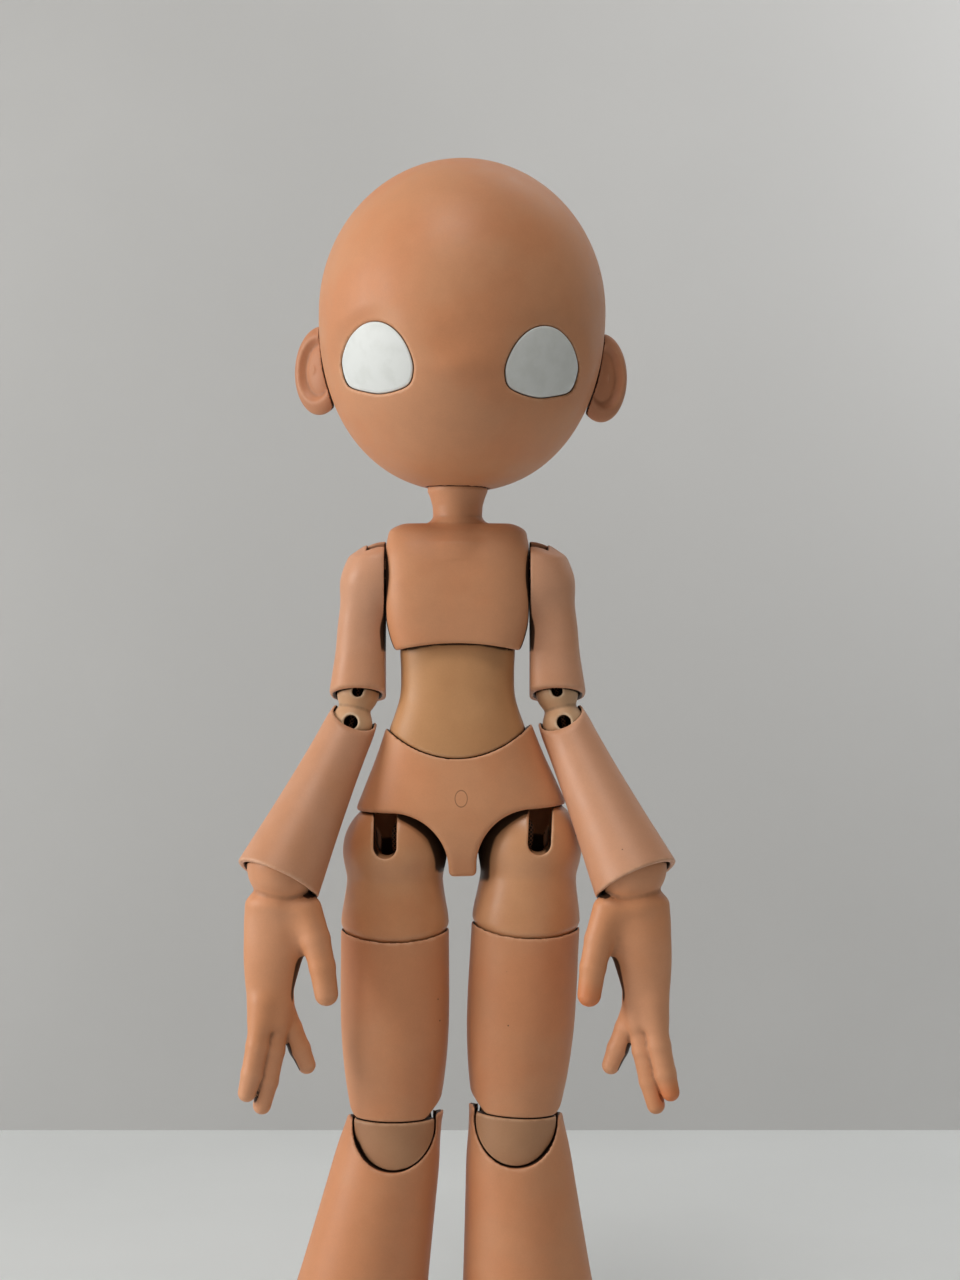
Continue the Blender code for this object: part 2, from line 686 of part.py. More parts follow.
def build_head():
    """The hollow skull: the shell carries the face and the neck seat, the cap closes its back on magnets."""
    neck_seat = NECK_BALL + BALL_GAP + NECK_SEAT_WALL
    hollow = egg("head_hollow", "head", HEAD_WALL, CAVITY_STEPS, CAVITY_RINGS)
    cut(hollow, ball("neck_seat_block", "head", neck_seat))
    halves = {"head_shell": (-1, CAP_CUT), "head_cap": (1, CAP_CUT + CAP_TRAVEL_SEAT)}
    far = max(HEAD_HALF_WIDTH, HEAD_HALF_DEPTH) + OVERRUN
    over = HEAD_JAW + HEAD_CROWN + OVERRUN
    for name, (facing, plane) in halves.items():
        half = egg(name, "head", material=RESIN)
        cut(half, hollow)
        depths = sorted((plane, -facing * far))
        away = block(f"{name}_off", "head", (-far, depths[0], -OVERRUN), (far, depths[1], over))
        bosses = []
        pockets = []
        for place, height in magnet_heights().items():
            reach = plane + facing * MAGNET_BOSS_LENGTH
            bosses.append(drum(f"{name}_boss_{place}", "head", MAGNET_BOSS, (0, plane, height), (0, reach, height)))
            depth = plane + facing * (MAGNET_THICK + GAP)
            start = plane - facing * OVERRUN
            pocket = MAGNET_RADIUS + GAP
            pockets.append(drum(f"{name}_pocket_{place}", "head", pocket, (0, start, height), (0, depth, height)))
            magnet = (plane + facing * GAP / 2, plane + facing * (MAGNET_THICK + GAP / 2))
            drum(
                f"magnet_{name.split('_')[1]}_{place}", "head", MAGNET_RADIUS, (0, magnet[0], height),
                (0, magnet[1], height), material=NICKEL,
            )
        cut(half, away)
        added(half, *bosses)
        cut(half, *pockets)
        if facing < 0:
            socket = ball("neck_socket", "head", NECK_BALL + BALL_GAP)
            hole = drum("neck_hole", "head", NECK_HOLE, (0, 0, 0), (0, 0, neck_seat + OVERRUN), steps=LIMB_STEPS)
            cut(half, socket, hole)
            for side_name, side in SIDES.items():
                window = prism(f"eye_window_{side_name}", "head", eye_outline(side, 0.0), -far, -CAP_CUT)
                peg_way = drum(
                    f"ear_way_{side_name}", "head", EAR_PEG_RADIUS + GAP,
                    (side * (EAR_PEG_REACH - OVERRUN), EAR_BACK, EAR_RISE), (side * far, EAR_BACK, EAR_RISE),
                )
                cut(half, window, peg_way)
    for side_name, side in SIDES.items():
        build_eye(side_name, side)
        build_ear(side_name, side)


def build_eye(side_name, side):
    """A blank dome, set in its opening a little behind the face."""
    front = -HEAD_HALF_DEPTH - OVERRUN
    eye = prism(f"eye_{side_name}", "head", eye_outline(side, GAP), front, -CAP_CUT, WHITE_RESIN)
    kept(eye, egg(f"eye_face_{side_name}", "head", EYE_RECESS))
    cut(eye, egg(f"eye_back_{side_name}", "head", HEAD_WALL, CAVITY_STEPS, CAVITY_RINGS))


def build_ear(side_name, side):
    """A flat shell with a bowl, turned a little to the front, on a peg in the side of the head."""
    shape = bmesh.new()
    bmesh.ops.create_uvsphere(shape, u_segments=EAR_STEPS, v_segments=EAR_RINGS, radius=1)
    spot = Matrix.Translation((side * EAR_SPREAD, EAR_BACK, EAR_RISE))
    turn = Matrix.Rotation(math.radians(side * EAR_TURN), 4, "Z")
    size = Matrix.Diagonal((EAR_REACH, EAR_THICK, EAR_HALF_HEIGHT, 1))
    bmesh.ops.transform(shape, matrix=spot @ turn @ size, verts=shape.verts)
    ear = from_bmesh(f"ear_{side_name}", shape, "head", EAR_RESIN)
    shape = bmesh.new()
    bmesh.ops.create_uvsphere(shape, u_segments=EAR_STEPS, v_segments=EAR_RINGS, radius=1)
    forward = Matrix.Translation((0, -EAR_BOWL_FORWARD, 0))
    size = Matrix.Diagonal([EAR_BOWL_SHARE * r for r in (EAR_REACH, EAR_THICK, EAR_HALF_HEIGHT)] + [1])
    bmesh.ops.transform(shape, matrix=spot @ turn @ forward @ size, verts=shape.verts)
    bowl = from_bmesh(f"ear_bowl_{side_name}", shape, "head")
    cut(ear, bowl, egg(f"ear_seat_{side_name}", "head", -GAP))
    out = side * (EAR_SPREAD + EAR_REACH / 4)
    reach = side * EAR_PEG_REACH
    ends = ((reach, EAR_BACK, EAR_RISE), (out, EAR_BACK, EAR_RISE))
    peg = drum(f"ear_peg_{side_name}", "head", EAR_PEG_RADIUS, *ends)
    added(ear, peg)


def build_chest():
    """The chest with its neck: flat sides for the arms, sockets for their balls, a cross bore and a neck bore."""
    rows = [
        (share * CHEST_HEIGHT - CHEST_DROP, 0, width * CHEST_HALF_WIDTH, front * CHEST_FRONT, back * CHEST_BACK)
        for share, width, front, back in CHEST_SHARES
    ]
    chest = loft("chest", "chest", eased(rows, TORSO_ROWS), RESIN, TORSO_STEPS, CHEST_POWER)
    start = math.asin(NECK_BORE / NECK_BALL) / 2
    arc = np.linspace(start, math.pi / 2, NECK_RINGS)
    dome = [(0.0, NECK_RISE + NECK_BALL * math.cos(start))]
    dome += [(NECK_BALL * math.sin(a), NECK_RISE + NECK_BALL * math.cos(a)) for a in arc]
    below = [(radius, NECK_RISE + height) for radius, height in NECK_PROFILE]
    neck = revolved("neck_body", "chest", dome + below + [(0.0, below[-1][1])])
    added(chest, neck)
    for side_name, side in SIDES.items():
        far = CHEST_HALF_WIDTH + OVERRUN
        xs = sorted((side * CHEST_HALF_WIDTH, side * far * 2))
        cut(chest, block(f"chest_side_{side_name}", "chest", (xs[0], -far, -far), (xs[1], far, far * 2)))
        centre = (side * (CHEST_HALF_WIDTH - SHOULDER_BALL_INSET + ARM_PLANE_GAP), 0, SHOULDER_RISE)
        socket = SHOULDER_BALL + BALL_GAP
        cut(chest, ball(f"shoulder_socket_{side_name}", "chest", socket, centre, SMALL_STEPS, SMALL_RINGS))
    inner = CHEST_HALF_WIDTH - SHOULDER_BALL_INSET
    knuckle = WAIST_KNUCKLE + BALL_GAP
    socket_half = WAIST_HALF_WIDTH + BALL_GAP
    rim = [(knuckle * radius, socket_half * across) for across, radius in WAIST_SOCKET_SHARES]
    socket = rim[::-1] + [(radius, -across) for radius, across in rim]
    cut(
        chest,
        drum("arm_way", "chest", ARM_BORE, (-inner, 0, SHOULDER_RISE), (inner, 0, SHOULDER_RISE)),
        drum("neck_way", "chest", NECK_BORE, (0, 0, 0), (0, 0, NECK_RISE + NECK_BALL + OVERRUN)),
        revolved("waist_socket", "chest", socket, LIMB_STEPS * 2, axis="X"),
        drum(
            "chest_arch", "chest", CHEST_ARCH_RADIUS, (0, -CHEST_FRONT - OVERRUN, CHEST_ARCH_RISE - CHEST_ARCH_RADIUS),
            (0, CHEST_BACK + OVERRUN, CHEST_ARCH_RISE - CHEST_ARCH_RADIUS), steps=LIMB_STEPS * 3,
        ),
    )


def build_waist():
    """The waist: a knuckle lying across its top, a ball cap below, a bore through both."""
    rows = [
        (share * WAIST_FLARE_DROP, 0, width * WAIST_HALF_WIDTH, deep * WAIST_KNUCKLE, deep * WAIST_KNUCKLE)
        for share, width, deep in WAIST_SHARES
    ]
    rows = [list(row) for row in eased(rows, LIMB_ROWS)]
    for share, width in WAIST_TOP_SHARES:
        deep = WAIST_KNUCKLE * math.sqrt(1 - share * share)
        rows.append([WAIST_TOP + share * WAIST_KNUCKLE, 0, width * WAIST_HALF_WIDTH, deep, deep])
    waist = loft("waist", "waist", rows, WAIST_RESIN, TORSO_STEPS, WAIST_POWER)
    top = WAIST_TOP + WAIST_KNUCKLE
    kept(waist, bullet("waist_ball", "waist", WAIST_BALL, top + OVERRUN, WAIST_CUP_STEPS))
    bottom = -WAIST_BALL - OVERRUN
    cut(waist, drum("waist_way", "waist", WAIST_BORE, (0, 0, bottom), (0, 0, top + OVERRUN), steps=SMALL_STEPS))


def build_pelvis():
    """The pelvis: a cup for the waist above, two hip sockets and the leg openings below."""
    height = PELVIS_TOP + PELVIS_DROP
    rows = [
        (share * height - PELVIS_DROP, 0, width * PELVIS_HALF_WIDTH, front * PELVIS_FRONT, back * PELVIS_BACK)
        for share, width, front, back in PELVIS_SHARES
    ]
    pelvis = loft("pelvis", "pelvis", eased(rows, TORSO_ROWS), RESIN, TORSO_STEPS, PELVIS_POWER)
    cup = bullet("waist_cup", "waist", WAIST_BALL + BALL_GAP, WAIST_TOP, WAIST_CUP_STEPS)
    cut(pelvis, cup)
    front = -PELVIS_FRONT - OVERRUN
    back = PELVIS_BACK + OVERRUN
    for side_name, side in SIDES.items():
        centre = side * HIP_SPREAD
        low = -LEG_OPENING_DROP
        top = LEG_OPENING - LEG_OPENING_DROP
        far = side * (PELVIS_HALF_WIDTH + OVERRUN)
        opening = side * LEG_OPENING_SPREAD
        inner = side * (LEG_OPENING_SPREAD - LEG_OPENING)
        beyond = -PELVIS_DROP - OVERRUN
        outer_xs = sorted((opening, far))
        inner_xs = sorted((inner, far))
        cut(
            pelvis,
            drum(
                f"leg_arch_{side_name}", "pelvis", LEG_OPENING, (opening, front, low), (opening, back, low),
                steps=LIMB_STEPS * 2,
            ),
            block(f"leg_side_{side_name}", "pelvis", (outer_xs[0], front, beyond), (outer_xs[1], back, top)),
            block(f"leg_foot_{side_name}", "pelvis", (inner_xs[0], front, beyond), (inner_xs[1], back, low)),
            ball(f"hip_socket_{side_name}", "pelvis", HIP_BALL + BALL_GAP, (centre, 0, 0)),
            drum(
                f"string_way_{side_name}", "pelvis", STRING_BORE, (0, 0, STRING_MEET),
                (centre * STRING_SHARE, 0, STRING_DROP),
            ),
        )


def build_upper_thigh(name, side):
    """The hip ball running down into the thigh's ball end, with the elastic's slot in front."""
    rows = [
        (share * UPPER_THIGH_FOOT, 0, width * THIGH_HALF_WIDTH, deep * THIGH_DEPTH, deep * THIGH_DEPTH)
        for share, width, deep in UPPER_THIGH_SHARES
    ]
    on = f"hip_{name}"
    part = loft(f"upper_thigh_{name}", on, eased(rows, SLIM_ROWS), RESIN)
    added(part, ball(f"hip_ball_{name}", on, HIP_BALL))
    kept(part, bullet(f"thigh_ball_{name}", f"thigh_{name}", THIGH_BALL, THIGH_BALL_DROP + HIP_BALL + OVERRUN))
    bottom = -THIGH_BALL_DROP - THIGH_BALL - OVERRUN
    over = HIP_BALL + OVERRUN
    cut(
        part,
        drum(f"upper_thigh_way_{name}", on, THIGH_BORE, (0, 0, bottom), (0, 0, over), steps=SMALL_STEPS),
        drum(
            f"hip_funnel_{name}", on, THIGH_BORE / 2, (0, 0, 0), (0, 0, HIP_BALL), steps=SMALL_STEPS,
            end_radius=HIP_FUNNEL,
        ),
        stadium(
            f"hip_slot_{name}", on, HIP_SLOT, -HIP_SLOT_FLOOR, over, -over, THIGH_BORE / 4,
            side * HIP_SLOT_OUT,
        ),
    )


def build_thigh(name, side):
    """The thigh: cupped above, with the knee's upper socket below, its back and lower corners cut away."""
    bottom = THIGH_BALL_DROP - KNEE_DROP - THIGH_RIM
    top = -THIGH_BALL / 6
    rows = [
        (bottom + share * (top - bottom), 0, width * THIGH_HALF_WIDTH, deep * THIGH_DEPTH, deep * THIGH_DEPTH)
        for share, width, deep in THIGH_SHARES
    ]
    on = f"thigh_{name}"
    knee = f"knee_{name}"
    part = loft(f"thigh_{name}", on, eased(rows, LIMB_ROWS), RESIN)
    far = THIGH_HALF_WIDTH + OVERRUN
    slope = math.atan2(THIGH_RIM + KNEE_BACK_CUT, KNEE_BALL)
    rim_low = (0, -KNEE_BALL / 3, -THIGH_RIM)
    back_cut = block(
        f"thigh_back_cut_{name}", knee, (-far, -KNEE_BALL / 3, -THIGH_RIM - far), (far, far * 2, -THIGH_RIM),
        Matrix.Rotation(slope, 4, "X"), rim_low,
    )
    chamfers = []
    for facing, start in ((side, THIGH_CHAMFER_OUT), (-side, THIGH_CHAMFER_IN)):
        xs = sorted((facing * start, facing * far * 2))
        chamfers.append(block(
            f"thigh_chamfer_{name}", knee, (xs[0], -far, -THIGH_RIM - far), (xs[1], far, -THIGH_RIM),
            Matrix.Rotation(math.radians(-THIGH_CHAMFER_SLOPE * facing), 4, "Y"), (facing * start, 0, -THIGH_RIM),
        ))
    cut(
        part,
        bullet(f"thigh_cup_{name}", on, THIGH_BALL + BALL_GAP, THIGH_BALL),
        drum(f"thigh_way_{name}", on, THIGH_BORE, (0, 0, bottom), (0, 0, 0), steps=SMALL_STEPS),
        ball(f"knee_upper_socket_{name}", knee, KNEE_BALL + BALL_GAP),
        ball(f"knee_lower_room_{name}", knee, KNEE_BALL + BALL_GAP, (0, 0, -KNEE_SPAN)),
        back_cut,
        *chamfers,
    )


def seat(name, on, bore, top, radius, centre, mouth):
    """A cutter turned in one piece: a bore from top down to a ball's seat, and the mouth below the seat's widest."""
    first = math.asin(bore / radius)
    count = BALL_RINGS // 2
    arc = [first + (math.pi / 2 - first) * i / count for i in range(count + 1)]
    profile = [(0.0, top), (bore, top)]
    profile += [(radius * math.sin(a), centre + radius * math.cos(a)) for a in arc]
    return revolved(name, on, profile + mouth + [(0.0, mouth[-1][1])], LIMB_STEPS)


def knuckles(name, on, radius, span, link, steps, rings):
    """Two balls of one radius, span apart, with a waist of radius link between them, turned in one piece."""
    arc = [math.pi * i / rings for i in range(1, rings)]
    near = [(radius * math.sin(a), radius * math.cos(a)) for a in arc if radius * math.cos(a) > -span / 2]
    upper = [point for point in near if point[0] > link or point[1] > 0]
    lower = [(across, -span - height) for across, height in reversed(upper)]
    middle = [(link, -span / 2)]
    profile = [(0.0, radius)] + upper + middle + lower + [(0.0, -span - radius)]
    return revolved(name, on, profile, steps, KNUCKLE_RESIN)


def kneecap_outline(radius, top):
    """A U in the front view: a half circle below the lower knuckle's centre and straight sides up to top."""
    count = LIMB_STEPS // 2
    arc = [math.pi + math.pi * i / count for i in range(count + 1)]
    outline = [(radius * math.cos(a), radius * math.sin(a) - KNEE_SPAN) for a in arc]
    return outline + [(radius, top), (-radius, top)]


def build_knee(name, side):
    """Two knuckles and the link between them, with the kneecap that closes the leg's front."""
    on = f"knee_{name}"
    part = knuckles(f"knee_{name}", on, KNEE_BALL, KNEE_SPAN, KNEE_LINK, BALL_STEPS, BALL_RINGS)
    heights = (-KNEE_SPAN * 2 - OVERRUN, -THIGH_RIM - GAP)
    front = -KNEECAP_FRONT - OVERRUN
    cap = loft(f"kneecap_{name}", on, [(height, 0, KNEECAP_WIDTH, KNEECAP_FRONT, KNEECAP_FRONT) for height in heights])
    kept(cap, prism(f"kneecap_edge_{name}", on, kneecap_outline(KNEECAP_RADIUS, 0.0), front, -KNEECAP_INNER))
    added(part, cap)
    reach = KNEE_BALL + OVERRUN
    cut(part, drum(f"knee_way_{name}", on, LEG_BORE, (0, 0, -KNEE_SPAN - reach), (0, 0, reach)))


def build_shin(name, side):
    """The flared shin: the knee's lower socket and the kneecap's seat above, a bell over the ankle below."""
    bottom = -SHIN_LENGTH - SHIN_RIM_DROP
    top = SHIN_EAR
    rows = []
    for share, wide in SHIN_SHARES:
        half_width = SHIN_TOP_WIDTH + wide * (SHIN_FOOT_WIDTH - SHIN_TOP_WIDTH)
        deep = half_width * SHIN_DEPTH_SHARE
        rows.append((bottom + share * (top - bottom), 0, half_width, deep, deep))
    on = f"shin_{name}"
    knee = f"knee_{name}"
    rows = [list(row) for row in eased(rows, LIMB_ROWS)]
    rows.append([top + OVERRUN] + rows[-1][1:])
    part = loft(f"shin_{name}", on, rows, RESIN)
    far = SHIN_TOP_WIDTH + OVERRUN
    front = -(KNEECAP_FRONT + OVERRUN) * 2
    slope = -math.atan2(KNEE_BACK_CUT + SHIN_EAR, KNEE_BALL)
    level = SHIN_EAR - KNEE_SPAN
    back_cut = block(
        f"shin_back_cut_{name}", knee, (-far, 0, level - GAP), (far, far * 2, far),
        Matrix.Rotation(slope, 4, "X"), (0, 0, level - GAP),
    )
    rim_cut = block(
        f"shin_rim_cut_{name}", knee, (-far * 2, -far * 2, level), (far * 2, far * 3, far * 2),
        Matrix.Rotation(math.radians(side * SHIN_EAR_SLOPE), 4, "Y"), (0, 0, level),
    )
    cut(
        part,
        ball(f"knee_lower_socket_{name}", knee, KNEE_BALL + BALL_GAP, (0, 0, -KNEE_SPAN)),
        prism(f"kneecap_seat_{name}", knee, kneecap_outline(KNEECAP_RADIUS + BALL_GAP, 0.0), front, -KNEECAP_SEAT),
        back_cut,
        rim_cut,
        seat(f"ankle_seat_{name}", on, LEG_BORE, 0.0, ANKLE_BALL + BALL_GAP, -SHIN_LENGTH, [
            (ANKLE_BALL + BALL_GAP, -SHIN_LENGTH - BELL_START),
            (2 * BELL_MOUTH - ANKLE_BALL, bottom - SHIN_RIM_DROP),
        ]),
    )


def build_foot(name, side):
    """A plain foot: a flat sole, an instep that rises to the ankle ball."""
    rows = [
        (share * ANKLE_HEIGHT - ANKLE_HEIGHT, 0, width * FOOT_HALF_WIDTH, front * FOOT_FRONT, back * FOOT_BACK)
        for share, width, front, back in FOOT_SHARES
    ]
    on = f"foot_{name}"
    part = loft(f"foot_{name}", on, rows, RESIN, power=FOOT_POWER)
    added(part, ball(f"ankle_ball_{name}", on, ANKLE_BALL))
    hook_room(part, f"ankle_hook_{name}", "X", ANKLE_BALL, ANKLE_SLOT_SHARES)


def hook_room(part, hook, axis, radius, reach):
    """The pocket for a hook's cross bar at a ball's centre, and the slot in which its stem swings."""
    half = LIMB_BAR_HALF + GAP
    room = HOOK_BAR + GAP
    out = radius + OVERRUN
    floor = -room / 2
    low, high = (sorted((share * radius for share in reach)))
    if axis == "X":
        ends = ((-half, 0, 0), (half, 0, 0))
        corners = ((-STEM_SLOT, low, floor), (STEM_SLOT, high, out))
    else:
        ends = ((0, -half, 0), (0, half, 0))
        corners = ((low, -STEM_SLOT, floor), (high, STEM_SLOT, out))
    cut(part, drum(f"{hook}_bar_room", hook, room, *ends), block(f"{hook}_stem_slot", hook, *corners))


def hook_line(top, half_width, turn, bottom):
    """A hook's wire in its XZ plane: a stem from bottom, a swing to one side at turn and a flat end at top."""
    bend = half_width * HOOK_CORNER_SHARE
    near = top - (top - turn) * HOOK_SWING_SHARE
    return [
        (0, 0, bottom), (0, 0, turn), (half_width, 0, near), (half_width, 0, top - bend),
        (half_width - bend, 0, top), (bend - half_width, 0, top), (-half_width, 0, top - bend),
        (-half_width, 0, near),
    ]


def build_hook(name, on, points, bar_height, bar_half, bar_axis):
    """A wire hook on its cross bar."""
    part = as_mesh(wire(f"{name}_line", points, HOOK_WIRE), name, on, STEEL)
    ends = ((-bar_half, 0, bar_height), (bar_half, 0, bar_height))
    if bar_axis == "Y":
        ends = ((0, -bar_half, bar_height), (0, bar_half, bar_height))
    return added(part, drum(f"{name}_bar", on, HOOK_BAR, *ends))


def build_upper_arm(name, side):
    """The upper arm: a domed shoulder, flat towards the chest, its ball boss, and the elbow's upper socket."""
    bottom = -ELBOW_DROP - ARM_RIM
    rows = []
    for share, out, deep in ARM_SHARES:
        outer = out * ARM_WIDTH
        centre = side * (outer - ARM_INNER) / 2
        half_width = (outer + ARM_INNER) / 2
        rows.append((bottom + share * (ARM_TOP - bottom), centre, half_width, deep * ARM_DEPTH, deep * ARM_DEPTH))
    on = f"arm_{name}"
    elbow = f"elbow_{name}"
    part = loft(f"upper_arm_{name}", on, eased(rows, SLIM_ROWS), RESIN, SMALL_STEPS, ARM_POWER)
    far = SHOULDER_DOME + OVERRUN
    xs = sorted((0, -side * far))
    elbow_out = side * ELBOW_OUT_SHARE * ARM_WIDTH
    rim_turn = Matrix.Rotation(math.radians(-ARM_RIM_SLOPE), 4, "X")
    level = -ELBOW_DROP - ARM_RIM_CUT
    added(part, ball(f"shoulder_dome_{name}", on, SHOULDER_DOME))
    cut(part, block(f"arm_face_{name}", on, (xs[0], -far, -ELBOW_DROP * 2), (xs[1], far, far)))
    boss = (-side * SHOULDER_BALL_INSET, 0, 0)
    added(part, ball(f"shoulder_boss_{name}", on, SHOULDER_BALL, boss, SMALL_STEPS, SMALL_RINGS))
    slot_xs = sorted((-side * far, side * SHOULDER_SLOT_REACH))
    cut(
        part,
        drum(f"arm_cross_way_{name}", on, ARM_STRING_BORE, (-side * far, 0, 0), (elbow_out, 0, 0)),
        drum(f"arm_way_{name}", on, ARM_DOWN_BORE, (elbow_out, 0, ARM_DOWN_BORE / 3), (elbow_out, 0, -ELBOW_DROP)),
        block(
            f"shoulder_slot_{name}", on, (slot_xs[0], -SHOULDER_SLOT_FRONT, -SHOULDER_SLOT_FLOOR),
            (slot_xs[1], SHOULDER_SLOT_BACK, far),
        ),
        ball(f"elbow_upper_socket_{name}", elbow, ELBOW_BALL + BALL_GAP, (0, 0, 0), SMALL_STEPS, SMALL_RINGS),
        block(
            f"arm_rim_{name}", on, (-ARM_WIDTH * 2, -far, level - far), (ARM_WIDTH * 2, far, level), rim_turn,
            (0, 0, level),
        ),
    )


def build_elbow(name, side):
    """Two knuckles on a short link, with the slot and the round hole that let the elastic out at the front."""
    on = f"elbow_{name}"
    reach = ELBOW_BALL + OVERRUN
    part = knuckles(f"elbow_{name}", on, ELBOW_BALL, ELBOW_SPAN, ELBOW_LINK, SMALL_STEPS, SMALL_RINGS)
    cut(
        part,
        drum(f"elbow_way_{name}", on, ELBOW_BORE, (0, 0, -ELBOW_SPAN - reach), (0, 0, reach)),
        stadium(f"elbow_slot_{name}", on, ELBOW_SLOT, -ELBOW_SLOT, reach, -reach, ELBOW_BORE / 4),
        drum(f"elbow_hole_{name}", on, ELBOW_HOLE, (0, -reach, -ELBOW_SPAN), (0, ELBOW_BORE / 4, -ELBOW_SPAN)),
    )


def build_forearm(name, side):
    """The flared forearm: the elbow's lower socket under a slanting rim, the wrist's socket in the cuff."""
    bottom = -FOREARM_LENGTH - FOREARM_RIM_DROP
    rows = []
    for share, wide in FOREARM_SHARES:
        half_width = FOREARM_TOP_WIDTH + wide * (FOREARM_CUFF_WIDTH - FOREARM_TOP_WIDTH)
        deep = half_width * FOREARM_DEPTH_SHARE
        rows.append((bottom + share * (FOREARM_TOP - bottom), 0, half_width, deep, deep))
    on = f"forearm_{name}"
    part = loft(f"forearm_{name}", on, eased(rows, SLIM_ROWS), RESIN)
    far = FOREARM_TOP_WIDTH + OVERRUN
    level = FOREARM_RIM_SIDE
    cut(
        part,
        block(
            f"forearm_rim_{name}", on, (-far, -far * 2, level), (far, far, level + far),
            Matrix.Rotation(math.radians(FOREARM_RIM_SLOPE), 4, "X"), (0, 0, level),
        ),
        ball(f"elbow_lower_socket_{name}", on, ELBOW_BALL + BALL_GAP, (0, 0, 0), SMALL_STEPS, SMALL_RINGS),
        seat(f"wrist_seat_{name}", on, FOREARM_BORE, 0.0, WRIST_BALL + BALL_GAP, -FOREARM_LENGTH, [
            (WRIST_BALL, bottom - OVERRUN),
        ]),
    )


def build_hand(name, side):
    """The hand in one casting: wrist ball, palm, thumb and three fingers."""
    rows = [
        (share * HAND_LENGTH, -side * shift * HAND_BREADTH, width * HAND_BREADTH, deep * PALM_THICK, deep * PALM_THICK)
        for share, shift, width, deep in PALM_SHARES
    ]
    on = f"hand_{name}"
    part = loft(f"hand_{name}", on, rows, RESIN, SMALL_STEPS)
    added(part, ball(f"wrist_ball_{name}", on, WRIST_BALL, (0, 0, 0), SMALL_STEPS, SMALL_RINGS))
    for finger, path in FINGERS.items():
        added(part, digit(f"{finger}_{name}", on, side, path, FINGER_RADIUS, FINGER_TAPER_SHARES))
    added(part, digit(f"thumb_{name}", on, side, THUMB, THUMB_RADIUS, THUMB_TAPER_SHARES))
    swing = [side * share for share in WRIST_SLOT_SHARES]
    hook_room(part, f"wrist_hook_{name}", "Y", WRIST_BALL, swing)


def in_world(on, points):
    """Points of a frame in the doll's own axes."""
    return [FRAMES[on].matrix_basis @ Vector(point) for point in points]


def bend_round(on, height, across, up):
    """Half a turn of elastic round a hook's wire, in the frame's YZ plane."""
    turns = [math.pi * i / 4 for i in range(5)]
    return in_world(on, [(across, -HOOK_BEND * math.cos(a), height + up * HOOK_BEND * math.sin(a)) for a in turns])


def loop_of(name, runs, start, end):
    """A closed loop of elastic: the runs' points in front, a turn, the same points behind, a turn."""
    front = [point + Vector((0, -spacing, 0)) for point, spacing in runs]
    back = [point + Vector((0, spacing, 0)) for point, spacing in reversed(runs)]
    points = list(reversed(start)) + front + end + back
    return wire(name, points, STRAND, closed=True)


def build_elastics():
    """The stringing: a loop down each leg from the neck hook, and one loop through both arms."""
    for name, side in SIDES.items():
        across = side * STRING_SPREAD
        low = ANKLE_BALL + HOOK_REACH
        reach = side * HIP_SPREAD * STRING_SHARE
        fall = STRING_DROP - STRING_MEET
        along = [(reach * share, 0, STRING_MEET + fall * share) for share in STRING_END_SHARES]
        run = []
        for on, places in (
            ("chest", ((across, 0, NECK_RISE - NECK_HOOK_DROP - HOOK_BEND * 2), (across, 0, 0))),
            ("waist", ((across, 0, -WAIST_BALL / 2),)),
            ("pelvis", along),
            (f"hip_{name}", ((-across, 0, HIP_SLOT), (-across, 0, -HIP_SLOT), (0, 0, -KNEE_DROP / 2))),
            (f"knee_{name}", ((0, 0, 0), (0, 0, -KNEE_SPAN))),
            (f"shin_{name}", ((0, 0, -SHIN_LENGTH / 4), (0, 0, low + HOOK_BEND * 2 - SHIN_LENGTH))),
        ):
            run += [(point, STRAND_SPACING) for point in in_world(on, places)]
        start = bend_round("neck", -NECK_HOOK_DROP, across, 1)
        end = bend_round(f"ankle_hook_{name}", low, 0, -1)
        dress_elastic(loop_of(f"leg_elastic_{name}", run, start, end))
    run = []
    low = WRIST_BALL + HOOK_REACH
    boss_end = SHOULDER_BALL + SHOULDER_BALL_INSET + STRAND
    for name in ("right", "left"):
        side = SIDES[name]
        elbow_out = side * ELBOW_OUT_SHARE * ARM_WIDTH
        wide = in_world("chest", [(side * WAIST_HALF_WIDTH / 3, 0, SHOULDER_RISE)])
        near = in_world(f"arm_{name}", [(-side * boss_end, 0, 0), (elbow_out * ARM_STRING_SHARES[0], 0, -ARM_STRING_BORE / 3)])
        drop = ARM_STRING_BORE * ARM_STRING_SHARES[1]
        down = in_world(f"arm_{name}", [(elbow_out, 0, -drop), (elbow_out, 0, -ELBOW_DROP / 2)])
        end_height = low + HOOK_BEND * 2 - FOREARM_LENGTH
        bend = in_world(f"elbow_{name}", [(0, 0, ELBOW_BALL * ELBOW_STRING_SHARE), (0, 0, -ELBOW_SPAN - ELBOW_BALL)])
        lower = bend + in_world(f"forearm_{name}", [(0, 0, -FOREARM_LENGTH / 3), (0, 0, end_height)])
        arm = [(point, CHEST_BYPASS) for point in wide] + [(point, STRAND_SPACING) for point in near + down + lower]
        run += arm[::-1] if name == "right" else arm
    start = bend_round("wrist_hook_right", low, 0, -1)
    end = bend_round("wrist_hook_left", low, 0, -1)
    dress_elastic(loop_of("arm_elastic", run, start, end))


def dress_elastic(made):
    made.data.materials.append(ELASTIC)
    bpy.context.scene.collection.objects.unlink(made)
    DOLL.objects.link(made)


